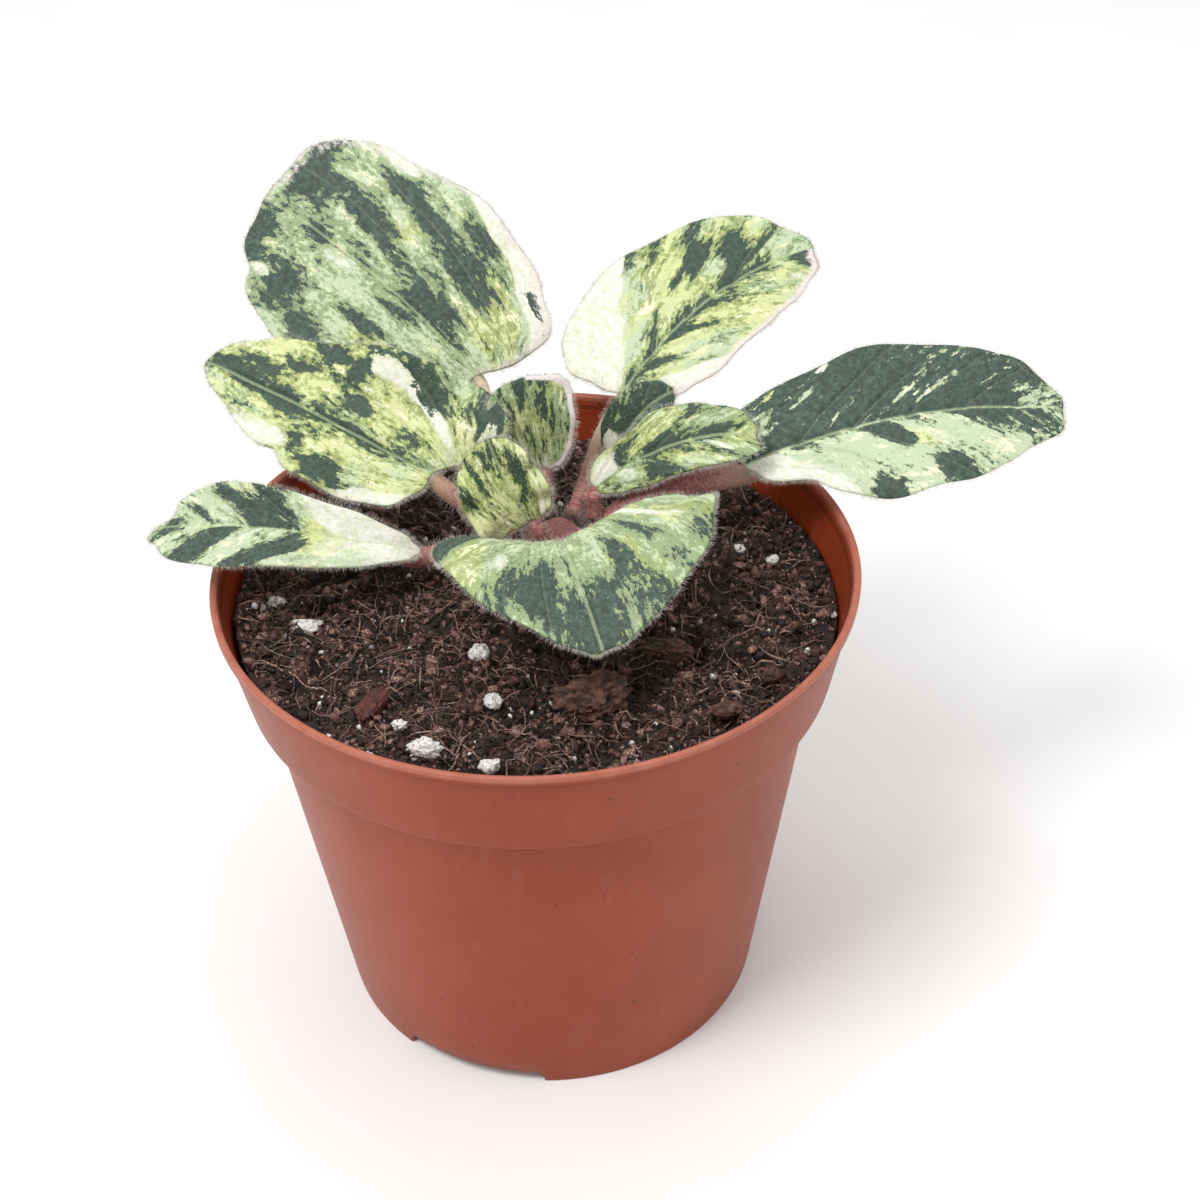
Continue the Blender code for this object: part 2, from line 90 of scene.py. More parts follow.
def latticeValue(i, j, k, seed):
    # a repeatable number from 0 to 1 for each whole-number point
    h = (i * 374761393 + j * 668265263 + k * 1442695041 + seed * 974634777) & 0xFFFFFFFF
    h = ((h ^ (h >> 13)) * 1274126177) & 0xFFFFFFFF
    return ((h ^ (h >> 16)) & 0xFFFF) / 65535.0


def noise3(p, seed):
    # value noise: lattice numbers blended with an S curve along each axis
    base = np.floor(p).astype(np.int64)
    f = p - base
    f = f * f * (3 - 2 * f)
    total = 0.0
    for a in (0, 1):
        for b in (0, 1):
            for c in (0, 1):
                weight = (f[..., 0] if a else 1 - f[..., 0]) * (f[..., 1] if b else 1 - f[..., 1])
                weight = weight * (f[..., 2] if c else 1 - f[..., 2])
                i, j, k = base[..., 0] + a, base[..., 1] + b, base[..., 2] + c
                total = total + weight * latticeValue(i, j, k, seed)
    return total


def layered(p, seed, count=4, gain=0.5):
    # sum of noises, each twice as fine and gain times as strong, scaled to -1..1
    total, size, top = 0.0, 1.0, 0.0
    for step in range(count):
        total = total + size * (noise3(p * 2.0 ** step + 7.3 * step, seed + step) * 2 - 1)
        top += size
        size *= gain
    return total / top


def flat3(x, y, z=0.0):
    # x, y and one z joined into points
    return np.stack([x, y, np.zeros_like(x) + z], axis=-1)


class Nodes:
    # short names for building one material's nodes; a value is a socket, a number, a vector or a hex colour
    def __init__(self, name):
        self.material = bpy.data.materials.new(name)
        self.material.use_nodes = True
        self.tree = self.material.node_tree
        self.shader = self.tree.nodes["Principled BSDF"]

    def add(self, kind, settings=None, **inputs):
        # a new node; inputs go by name, or by number as i0, i1 and so on
        node = self.tree.nodes.new("ShaderNode" + kind)
        for key, value in (settings or {}).items():
            setattr(node, key, value)
        for key, value in inputs.items():
            self.feed(node, int(key[1:]) if key[0] == "i" and key[1:].isdigit() else key, value)
        return node

    def feed(self, node, key, value):
        # a socket is linked, a hex colour made linear, anything else set
        if isinstance(value, bpy.types.NodeSocket):
            self.tree.links.new(value, node.inputs[key])
        else:
            node.inputs[key].default_value = tint(value) if isinstance(value, str) else value

    def math(self, operation, a, b=0.0):
        # one Math node on a and b
        return self.add("Math", {"operation": operation}, i0=a, i1=b).outputs[0]

    def times(self, a, b):
        return self.math("MULTIPLY", a, b)  # a * b

    def minus(self, a, b):
        return self.math("SUBTRACT", a, b)  # a - b

    def plus(self, *terms):
        # the sum of all the terms
        total = terms[0]
        for term in terms[1:]:
            total = self.math("ADD", total, term)
        return total

    def swing(self, field, by):
        return self.times(self.minus(field, 0.5), by)  # a 0 to 1 field centred on 0, times by

    def scaled(self, vector, by):
        # each axis times its own number
        return self.add("VectorMath", {"operation": "MULTIPLY"}, i0=vector, i1=by).outputs[0]

    def attribute(self, name):
        # a per-point vector stored on the mesh
        return self.add("Attribute", {"attribute_name": name}).outputs["Vector"]

    def parts(self, vector):
        # the three numbers of a vector
        return self.add("SeparateXYZ", Vector=vector).outputs

    def noise(self, vector, scale, detail=4.0, roughness=0.55, distortion=0.0):
        # fractal noise from 0 to 1, scale lumps to the unit of the vector
        node = self.add("TexNoise", Vector=vector, Scale=scale, Detail=detail, Roughness=roughness,
                        Distortion=distortion)
        return node.outputs[0]

    def ramp(self, fac, low, high):
        # an S curve from 0 at low to 1 at high
        node = self.add("MapRange", {"interpolation_type": "SMOOTHSTEP"}, Value=fac, i1=low, i2=high)
        return node.outputs[0]

    def mix(self, fac, a, b):
        # colour a where fac is 0, b where it is 1
        return self.add("Mix", {"data_type": "RGBA"}, i0=fac, i6=a, i7=b).outputs[2]

    def objectMm(self):
        # object coordinates in mm
        return self.scaled(self.add("TexCoord").outputs["Object"], (1000.0, 1000.0, 1000.0))

    def bump(self, height, distance, strength=1.0, normal=None):
        # the normal tilted by a height field that is distance metres deep, on top of another normal
        node = self.add("Bump", Height=height, Distance=distance, Strength=strength)
        if normal is not None:
            self.feed(node, "Normal", normal)
        return node.outputs[0]

    def finish(self, colour, roughness, normal=None, **fixed):
        # joins the fields to the shader and sets its plain values
        self.feed(self.shader, "Base Color", colour)
        self.feed(self.shader, "Roughness", roughness)
        if normal is not None:
            self.feed(self.shader, "Normal", normal)
        for key, value in fixed.items():
            self.shader.inputs[key.replace("_", " ")].default_value = value
        return self.material


# blade sizes in mm
bladeLook = {"thick": 0.75, "veinSpacing": 4.6, "veinDepth": 0.3, "ribDepth": 0.35}
leafLook = {
    "slate": "#37473f", "slateLight": "#506357", "deep": "#364b37", "green": "#879c6c", "olive": "#95a25c",
    "sage": "#c3d0af", "lime": "#d2d99c", "cream": "#edeecb", "white": "#f0eee6", "milk": "#dfe4c8",
    "rose": "#e8dcda", "vein": "#b4c495", "under": "#a9a487", "underBrown": "#8d6a55", "underPale": "#c9c4a6",
    "underVein": "#b08a78",
}


def leafTopMaterial():
    # sage to lime washed with cream and green, then dark patches feathered along the veins, then a pale rim
    n = Nodes("leafTop")
    vein = n.attribute("veinMap")
    leaf = n.attribute("leafMap")
    tone = n.parts(n.attribute("tone"))
    kind = n.parts(n.attribute("ground"))
    streak = n.noise(n.scaled(vein, (0.55, 0.16, 1.0)), 1.0, 4.0, 0.6, 0.3)
    ragged = n.noise(n.scaled(vein, (1.9, 0.8, 1.0)), 1.0, 3.0, 0.6)
    mottle = n.noise(n.scaled(leaf, (1.3, 1.3, 1.0)), 1.0, 3.0, 0.6)
    speckle = n.noise(n.scaled(leaf, (5.0, 5.0, 1.0)), 1.0, 2.0, 0.6)
    wash = n.noise(n.scaled(vein, (0.33, 0.1, 3.0)), 1.0, 4.0, 0.6, 0.5)
    broad = n.noise(n.scaled(leaf, (0.14, 0.14, 1.0)), 1.0, 2.0, 0.5)

    shape = n.plus(n.swing(streak, 1.15), n.swing(ragged, 0.95), n.swing(speckle, 0.4))
    yellow = n.ramp(n.plus(kind[0], n.swing(broad, 1.2), n.swing(wash, 1.2)), 0.3, 0.7)
    base = n.mix(yellow, leafLook["sage"], leafLook["lime"])
    base = n.mix(n.ramp(n.plus(wash, n.swing(mottle, 0.5)), 0.52, 0.66), base, leafLook["cream"])
    leafGreen = n.mix(yellow, leafLook["green"], leafLook["olive"])
    edge = n.plus(tone[0], shape)
    half = n.ramp(n.plus(edge, n.swing(mottle, 0.7), n.minus(kind[1], 0.4)), 0.36, 0.5)
    base = n.mix(n.times(half, 0.85), base, leafGreen)
    pale = n.plus(tone[1], n.swing(ragged, 0.6), n.swing(streak, 0.9), n.swing(speckle, 0.3))
    pale = n.ramp(pale, 0.34, 0.58)
    milk = n.ramp(n.plus(mottle, n.swing(ragged, 0.6)), 0.38, 0.66)
    milk = n.mix(milk, leafLook["white"], leafLook["milk"])
    base = n.mix(n.times(pale, 0.92), base, milk)
    slate = n.mix(n.ramp(mottle, 0.35, 0.7), leafLook["slate"], leafLook["slateLight"])
    slate = n.mix(kind[2], slate, leafLook["deep"])
    dark = n.ramp(n.minus(edge, n.times(pale, 0.5)), 0.515, 0.575)
    colour = n.mix(dark, base, slate)
    margin = n.ramp(n.plus(tone[2], n.swing(mottle, 0.5), n.swing(speckle, 0.3)), 0.4, 0.62)
    colour = n.mix(margin, colour, leafLook["rose"])
    # thin paler lines over the veins and the midrib
    line = n.math("PINGPONG", n.math("DIVIDE", n.parts(vein)[0], bladeLook["veinSpacing"]), 0.5)
    line = n.minus(1.0, n.ramp(line, 0.0, 0.05))
    rib = n.minus(1.0, n.ramp(n.math("ABSOLUTE", n.parts(leaf)[0]), 0.1, 0.35))
    lines = n.math("MAXIMUM", n.times(line, 0.1), n.times(rib, 0.45))
    colour = n.mix(lines, colour, leafLook["vein"])
    cells = n.add("TexVoronoi", {"feature": "SMOOTH_F1"}, Vector=n.scaled(leaf, (1.0, 1.0, 0.0)), Scale=1.9)
    normal = n.bump(cells.outputs[0], 0.00016, 0.7)
    normal = n.bump(speckle, 0.00005, 0.6, normal)
    rough = n.plus(n.times(mottle, 0.15), 0.5)
    return n.finish(colour, rough, normal, Subsurface_Weight=0.06, Subsurface_Scale=0.0008,
                    Sheen_Weight=0.06, Sheen_Roughness=0.4, Specular_IOR_Level=0.35)


def leafUnderMaterial():
    # grey green blushed with brown in broad clouds, paler by the fine grain and browner over the veins
    n = Nodes("leafUnder")
    leaf = n.attribute("leafMap")
    blush = n.noise(n.scaled(leaf, (0.16, 0.16, 1.0)), 1.0, 4.0, 0.6)
    grain = n.noise(n.scaled(leaf, (3.0, 3.0, 1.0)), 1.0, 3.0, 0.6)
    colour = n.mix(n.ramp(blush, 0.4, 0.62), leafLook["under"], leafLook["underBrown"])
    colour = n.mix(n.times(n.ramp(grain, 0.45, 0.65), 0.4), colour, leafLook["underPale"])
    vein = n.parts(n.attribute("veinMap"))[0]
    line = n.math("PINGPONG", n.math("DIVIDE", vein, bladeLook["veinSpacing"]), 0.5)
    line = n.minus(1.0, n.ramp(line, 0.0, 0.06))
    colour = n.mix(n.times(line, 0.45), colour, leafLook["underVein"])
    return n.finish(colour, 0.6, n.bump(grain, 0.0001, 0.6), Subsurface_Weight=0.08, Subsurface_Scale=0.0008,
                    Sheen_Weight=0.25, Sheen_Roughness=0.4)


stalkLook = {"lowDark": "#86443f", "lowLight": "#b27a70", "high": "#d9c9ab", "highDark": "#c9b48f"}


def stalkMaterial():
    # grained pink at the foot that runs into grained cream towards the blade
    n = Nodes("leafStalk")
    place = n.attribute("stalkMap")
    p = n.parts(place)
    grain = n.noise(n.scaled(place, (3.0, 2.0, 1.0)), 1.0, 4.0, 0.6)
    low = n.mix(n.ramp(grain, 0.35, 0.65), stalkLook["lowDark"], stalkLook["lowLight"])
    high = n.mix(n.ramp(grain, 0.35, 0.65), stalkLook["high"], stalkLook["highDark"])
    colour = n.mix(n.ramp(n.plus(p[2], n.times(grain, 0.2)), 0.15, 0.75), low, high)
    return n.finish(colour, 0.55, n.bump(grain, 0.0001, 0.6), Subsurface_Weight=0.1, Subsurface_Scale=0.001,
                    Sheen_Weight=0.25, Sheen_Roughness=0.4)


hairLook = {"root": "#d3cdb8", "tip": "#f4f1ea"}


def hairMaterial():
    # greyer at the root and white at the tip, each hair with its own roughness
    n = Nodes("leafHair")
    p = n.parts(n.attribute("hairMap"))
    colour = n.mix(p[0], hairLook["root"], hairLook["tip"])
    return n.finish(colour, n.plus(n.times(p[1], 0.2), 0.4), Sheen_Weight=0.2)


# lip is a painted highlight along the top of the lip; groove is a painted shadow under it
potLook = {
    "clay": "#8d3717", "clayWarm": "#973f20", "dust": "#a8705a", "dirt": "#2a1812", "lip": "#cf8d7a",
    "groove": "#5f2716",
}


def potMaterial():
    # clay clouded warm and dusty, with specks of dirt in some cells, a painted highlight along the top of the
    # lip and a painted shadow in the groove under it
    n = Nodes("terracottaPlastic")
    place = n.objectMm()
    up = n.parts(place)[2]
    cloud = n.noise(place, 0.045, 4.0, 0.6)
    smear = n.noise(n.scaled(place, (1.0, 1.0, 0.35)), 0.35, 4.0, 0.6)
    grain = n.noise(place, 7.0, 3.0, 0.6)
    colour = n.mix(n.ramp(cloud, 0.35, 0.68), potLook["clay"], potLook["clayWarm"])
    colour = n.mix(n.times(n.ramp(smear, 0.5, 0.75), 0.14), colour, potLook["dust"])
    cells = n.add("TexVoronoi", {"feature": "F1"}, Vector=place, Scale=0.3, Randomness=1.0)
    size = n.parts(cells.outputs["Color"])[0]
    speck = n.minus(n.times(size, 0.085), cells.outputs[0])
    speck = n.times(n.ramp(speck, -0.012, 0.0), n.math("GREATER_THAN", size, 0.62))
    colour = n.mix(n.times(speck, 0.75), colour, potLook["dirt"])
    # painted highlight: the top of the lip made lighter, patchy with the smear noise
    lip = n.times(n.ramp(up, 71.2, 71.8), n.plus(n.times(smear, 0.6), 0.1))
    colour = n.mix(lip, colour, potLook["lip"])
    # painted shadow: a dark band in the groove under the lip
    groove = n.times(n.ramp(up, 70.0, 70.4), n.minus(1.0, n.ramp(up, 70.75, 70.95)))
    colour = n.mix(n.times(groove, 0.7), colour, potLook["groove"])
    rough = n.plus(n.times(smear, 0.2), 0.3)
    normal = n.bump(grain, 0.00003, 0.5)
    normal = n.bump(smear, 0.00012, 0.25, normal)
    return n.finish(colour, rough, normal, Specular_IOR_Level=0.27)


# dark, middle and light colour, and how fine the grain is; the light colour is partly pale grit and partly
# painted highlights
groundLooks = {
    "soilGround": ("#150b08", "#45281f", "#9c7664", 1.0),
    "soilCrumbs": ("#1c0f0b", "#70453a", "#dec4b4", 1.3),
    "coirFibres": ("#22130d", "#8a685a", "#dcc4b2", 1.2),
    "barkChip": ("#3b1a12", "#6d3525", "#94604b", 1.0),
    "peatLumps": ("#2c1912", "#6f4838", "#b08c76", 1.4),
}


def soilMaterial(name):
    # dark to middle by clods and each bit's own shade, light where the fine grain is high on a bright bit:
    # partly pale grit, partly painted highlights
    dark, middle, light, scale = groundLooks[name]
    n = Nodes(name)
    place = n.objectMm()
    shade = n.parts(n.attribute("grainMap"))[0]
    clod = n.noise(place, 0.55 * scale, 5.0, 0.65)
    grain = n.noise(place, 3.2 * scale, 4.0, 0.7)
    pick = n.plus(n.times(clod, 0.5), n.times(shade, 0.55))
    colour = n.mix(n.ramp(pick, 0.38, 0.7), dark, middle)
    # partly pale grit and partly painted highlights on the crumbs and fibres
    colour = n.mix(n.times(n.ramp(grain, 0.47, 0.62), n.ramp(pick, 0.5, 0.85)), colour, light)
    normal = n.bump(grain, 0.00025, 0.8)
    return n.finish(colour, n.plus(n.times(clod, 0.5), 0.25), normal, Specular_IOR_Level=0.5)


perliteLook = {"pore": "#8d837c", "grain": "#f1eeec", "stain": "#8a7163"}


def perliteMaterial():
    # white with grey pores, stained brown in patches
    n = Nodes("perlite")
    place = n.objectMm()
    pores = n.noise(place, 2.4, 4.0, 0.7)
    stain = n.noise(place, 0.7, 4.0, 0.6)
    colour = n.mix(n.ramp(pores, 0.34, 0.5), perliteLook["pore"], perliteLook["grain"])
    colour = n.mix(n.times(n.ramp(stain, 0.58, 0.72), 0.6), colour, perliteLook["stain"])
    return n.finish(colour, n.plus(n.times(pores, 0.2), 0.65), n.bump(pores, 0.0003, 0.9),
                    Subsurface_Weight=0.1, Subsurface_Scale=0.001)


leafTop = leafTopMaterial()
leafUnder = leafUnderMaterial()
stalkSkin = stalkMaterial()
hairSkin = hairMaterial()
potPlastic = potMaterial()
soilSkin, crumbSkin, fibreSkin, barkSkin, peatSkin = [soilMaterial(name) for name in groundLooks]
perliteSkin = perliteMaterial()
print("materials made")


# radii and heights in mm, angles in degrees; notchHalf is half a notch's angle
pot = {
    "height": 72.3, "lipRadius": 45.0, "lipHeight": 1.5, "bandTop": 44.3, "bandBottom": 41.9,
    "bandBottomZ": 57.9, "bandHeight": 14.4, "bodyTop": 39.4, "bodyTopZ": 56.4, "foot": 31.75,
    "footWidth": 1.3, "floorUnder": 2.7, "floorTop": 3.7, "wall": 0.9, "around": 288, "notchHeight": 2.2,
    "notchHalf": 19.3, "notchAngles": (-114.0, 6.0, 126.0), "drainRadius": 2.6, "drainRing": 18.0,
    "drainCount": 6,
}


def innerRadius(z):
    # the outside radius less the wall: a straight taper up the body, and a second one up the band
    body = pot["foot"] - pot["wall"] + (pot["bodyTop"] - pot["foot"]) * z / pot["bodyTopZ"]
    flare = (pot["bandTop"] - pot["bandBottom"]) * (z - pot["bandBottomZ"]) / pot["bandHeight"]
    return float(body if z < pot["bodyTopZ"] + 0.5 else pot["bandBottom"] - pot["wall"] + flare)


def roundedProfile(corners, run=2.8):
    # corners are (r, z, rounding): each rounded one becomes a quadratic arc, the rest is cut about every run mm
    points = []
    for i, (r, z, soft) in enumerate(corners):
        here = np.array([r, z])
        if soft <= 0 or i in (0, len(corners) - 1):
            points.append(here[None])
            continue
        before, after = np.array(corners[i - 1][:2]), np.array(corners[i + 1][:2])
        a = here + unit(before - here) * min(soft, np.linalg.norm(before - here) * 0.45)
        b = here + unit(after - here) * min(soft, np.linalg.norm(after - here) * 0.45)
        t = np.linspace(0, 1, 6)[:, None]
        points.append((1 - t) ** 2 * a + 2 * (1 - t) * t * here + t * t * b)
    path = np.concatenate(points)
    fine = [path[:1]]
    for a, b in zip(path[:-1], path[1:]):
        count = int(max(1, min(24, np.linalg.norm(b - a) / run)))
        fine.append(a + (b - a) * (np.arange(1, count + 1) / count)[:, None])
    return np.concatenate(fine)


def revolveFaces(rows, around):
    # quads between neighbouring rings
    i, j = np.meshgrid(np.arange(rows - 1), np.arange(around), indexing="ij")
    k = (j + 1) % around
    low, high = i * around, (i + 1) * around
    return np.stack([low + j, high + j, high + k, low + k], -1).reshape(-1, 4)


def makePot():
    # a profile turned round the axis: the floor's underside, up the outside, over the lip and down the inside
    h, lip, w = pot["height"], pot["height"] - pot["lipHeight"], pot["wall"]
    rim, foot, inFoot = pot["lipRadius"], pot["foot"], pot["foot"] - pot["footWidth"]
    body, bodyZ = pot["bodyTop"], pot["bodyTopZ"]
    band, bandZ, bandTop = pot["bandBottom"], pot["bandBottomZ"], pot["bandTop"]
    path = roundedProfile([
        (0.02, pot["floorUnder"], 0), (inFoot - 0.2, pot["floorUnder"], 0.4), (inFoot, 0.0, 0.2),
        (foot, 0.0, 0.25), (foot + 0.2, 1.2, 0.2), (body, bodyZ - 0.4, 0.5), (body + 0.25, bodyZ + 0.35, 0.5),
        (band - 0.2, bandZ - 0.75, 0.7), (band + 0.1, bandZ + 0.5, 0.7),
        (bandTop - 0.05, lip - 0.5, 0.2), (bandTop - 0.15, lip - 0.1, 0.1), (rim - 0.1, lip + 0.05, 0.15),
        (rim, h - 0.1, 0.4), (rim - 0.5, h, 0.2), (rim - 1.0, h - 0.25, 0.2), (rim - 1.2, h - 1.0, 0.3),
        (bandTop - w, lip - 0.6, 0.5), (innerRadius(bandZ + 0.6), bandZ + 0.6, 0.6),
        (body - w + 0.3, bodyZ + 0.1, 0.6), (innerRadius(bodyZ - 0.9), bodyZ - 0.9, 0.6),
        (innerRadius(4.4), 4.4, 0.5), (innerRadius(pot["floorTop"]) - 0.6, pot["floorTop"], 0.5),
        (0.02, pot["floorTop"], 0),
    ])
    around = pot["around"]
    angle = np.arange(around) / around * 2 * np.pi
    r, a = np.meshgrid(path[:, 0], angle, indexing="ij")
    z = np.repeat(path[:, 1][:, None], around, axis=1)
    notch = np.zeros_like(z, dtype=bool)
    for centre in pot["notchAngles"]:
        notch |= np.abs((np.degrees(a) - centre + 180) % 360 - 180) < pot["notchHalf"]
    # the foot ring is lifted to the notch's height where a notch is
    z = np.where(notch & (r > inFoot - 0.5) & (z < pot["notchHeight"]), pot["notchHeight"], z)
    r = r * (1 + 0.0004 * np.sin(2 * a + 0.6) * (z / pot["height"]))  # moulding is never quite round
    points = np.stack([r * np.cos(a), r * np.sin(a), z], -1).reshape(-1, 3)
    last = (len(path) - 1) * around
    faces = revolveFaces(len(path), around)[:, ::-1].tolist()
    faces += [list(range(around)), list(range(last, last + around))[::-1]]
    piece = putMesh("nurseryPot", points, faces, potPlastic, ["pot"])
    hole = pot["drainRadius"] * mm
    drills = []
    for number in range(pot["drainCount"] + 1):
        turn = math.radians(360 / pot["drainCount"] * number + 20)
        ring = pot["drainRing"] if number else 0.0
        place = (potAxis[0] + ring * mm * math.cos(turn), potAxis[1] + ring * mm * math.sin(turn), 3.2 * mm)
        bpy.ops.mesh.primitive_cylinder_add(vertices=40, radius=hole, depth=6 * mm, location=place)
        drills.append(bpy.context.object)
        cut = piece.modifiers.new("Drain", "BOOLEAN")
        cut.operation = "DIFFERENCE"
        cut.solver = "EXACT"
        cut.object = drills[-1]
    applied(piece)
    for drill in drills:
        bpy.data.objects.remove(drill)


def applied(piece):
    # makes a piece's modifiers real
    bpy.context.view_layer.update()
    graph = bpy.context.evaluated_depsgraph_get()
    mesh = bpy.data.meshes.new_from_object(piece.evaluated_get(graph))
    piece.modifiers.clear()
    piece.data = mesh


makePot()
print("pot made")


# edge is the surface's radius, edgeZ its height there, skirt the heights of the rings down the wall
soil = {
    "edgeZ": 65.3, "mound": 0.9, "grid": 270, "edge": 42.05,
    "skirt": (60.0, 57.2, 56.2, 55.0, 30.0, 6.0, 4.1),
    "crumbs": 8800, "dust": 6500, "whiteBits": 170, "coir": 1700, "rootHairs": 800,
}


def soilHeight(x, y):
    # a low mound with rolling lumps, clods with dark gaps between them, and fine grain
    away = np.hypot(x, y) / 43.0
    base = soil["edgeZ"] + soil["mound"] * (1 - away * away)
    roll = 0.75 * layered(flat3(x * 0.10, y * 0.10), 5, 2)
    clods = 0.95 * layered(flat3(x * 0.42, y * 0.42), 9, 3, 0.6)
    grain = 0.42 * layered(flat3(x * 1.6, y * 1.6), 13, 3, 0.6)
    pits = -1.5 * smooth(0.60, 0.80, noise3(flat3(x * 0.33, y * 0.33), 21))
    base = base + 1.9 * smooth(24, 42, -x) * smooth(-30, -5, y)
    return base + (roll + clods) * smooth(1.02, 0.9, away) + grain + pits * smooth(1.0, 0.8, away)


def discGrid(count):
    # a square grid of points pressed into a unit disc, with no pole
    line = np.linspace(-1, 1, count + 1)
    a, b = np.meshgrid(line, line, indexing="ij")
    return a * np.sqrt(1 - b * b / 2), b * np.sqrt(1 - a * a / 2)


def gridFaces(count):
    # a quad for each square of the grid
    i, j = np.meshgrid(np.arange(count), np.arange(count), indexing="ij")
    n = count + 1
    return np.stack([i * n + j, (i + 1) * n + j, (i + 1) * n + j + 1, i * n + j + 1], -1).reshape(-1, 4)


def rimOrder(count):
    # indices round the grid's border, counter-clockwise seen from above
    n = count + 1
    k = np.arange(count)
    return np.concatenate([k * n, count * n + k, (count - k) * n + count, count - k])


def makeSoil():
    # the rough top over a disc grid, then its rim carried down the wall as a skirt and closed underneath
    count = soil["grid"]
    u, v = discGrid(count)
    x, y = u * soil["edge"], v * soil["edge"]
    z = soilHeight(x, y)
    top = np.stack([x, y, z], -1).reshape(-1, 3)
    rim = rimOrder(count)
    points, faces = [top], gridFaces(count).tolist()
    start, previous = len(top), rim
    for height in soil["skirt"]:
        radius = innerRadius(height) - 0.35 - (0.8 if height < 5 else 0.0)
        ring = top[rim].copy()
        ring[:, :2] *= (min(radius, soil["edge"]) / soil["edge"])
        ring[:, 2] = height
        now = start + np.arange(len(rim))
        faces += np.stack([previous, now, np.roll(now, -1), np.roll(previous, -1)], -1).tolist()
        points.append(ring)
        previous, start = now, start + len(rim)
    faces.append(previous[::-1].tolist())
    points = np.concatenate(points)
    shade = np.zeros_like(points)
    shade[:, 0] = 0.5 + 0.5 * layered(points * 0.3, 31, 3)
    putMesh("soilSurface", points, faces, soilSkin, ["potting_soil"], {"grainMap": shade})


def icosphere(level):
    # points and triangles of a unit icosphere
    bpy.ops.mesh.primitive_ico_sphere_add(subdivisions=level, radius=1.0)
    item = bpy.context.object
    points = np.array([v.co for v in item.data.vertices])
    faces = np.array([p.vertices for p in item.data.polygons])
    bpy.data.objects.remove(item)
    return points, faces


def turns(count):
    # random rotation matrices
    q = unit(rng.normal(size=(count, 4)))
    a, b, c, d = q.T
    return np.stack([
        np.stack([1 - 2 * (c * c + d * d), 2 * (b * c - a * d), 2 * (b * d + a * c)], -1),
        np.stack([2 * (b * c + a * d), 1 - 2 * (b * b + d * d), 2 * (c * d - a * b)], -1),
        np.stack([2 * (b * d - a * c), 2 * (c * d + a * b), 1 - 2 * (b * b + c * c)], -1)], -2)


def scatter(name, count, sizes, flatness, material, sink, roughness=0.35):
    # many copies of a small dented ball, each stretched, turned and pressed a little into the soil
    shape, triangles = icosphere(1)
    radius = np.sqrt(rng.random(count)) * (soil["edge"] - 0.45)
    angle = rng.random(count) * 2 * np.pi
    x, y = radius * np.cos(angle), radius * np.sin(angle)
    size = sizes(count)
    stretch = np.stack([size * rng.uniform(0.8, 1.5, count), size * rng.uniform(0.6, 1.1, count),
                        size * rng.uniform(flatness, 1.0, count)], -1) * 0.5
    dents = 1 + roughness * (rng.random((count, len(shape))) - 0.5)
    points = shape[None] * dents[..., None] * stretch[:, None]
    points = np.einsum("nij,nkj->nki", turns(count), points)
    z = soilHeight(x, y) + stretch[:, 2] * (1 - 2 * sink)
    points = points + np.stack([x, y, z], -1)[:, None]
    faces = (triangles[None] + (np.arange(count) * len(shape))[:, None, None]).reshape(-1, 3)
    shade = np.zeros((count, len(shape), 3))
    shade[..., 0] = rng.random(count)[:, None]
    putMesh(name, points.reshape(-1, 3), faces, material, (), {"grainMap": shade.reshape(-1, 3)})


def tubes(path, radius, sides):
    # path is (strand, step, xyz), radius (strand, step): a closed tube with flat ends round every strand
    count, steps, _ = path.shape
    ahead = unit(np.gradient(path, axis=1))
    across = unit(np.cross(ahead, np.array([0.13, 0.21, 0.97])))
    third = np.cross(ahead, across)
    angle = np.arange(sides) / sides * 2 * np.pi
    ring = across[:, :, None] * np.cos(angle)[:, None] + third[:, :, None] * np.sin(angle)[:, None]
    points = path[:, :, None] + ring * radius[:, :, None, None]
    i, j = np.meshgrid(np.arange(steps - 1), np.arange(sides), indexing="ij")
    k = (j + 1) % sides
    low, high = i * sides, (i + 1) * sides
    quads = np.stack([low + j, low + k, high + k, high + j], -1).reshape(-1, 4)
    start = (np.arange(count) * steps * sides)[:, None, None]
    faces = (quads[None] + start).reshape(-1, 4).tolist()
    first = np.arange(sides)[::-1][None] + start[:, 0]
    last = ((steps - 1) * sides + np.arange(sides))[None] + start[:, 0]
    return points.reshape(-1, 3), faces + first.tolist() + last.tolist()


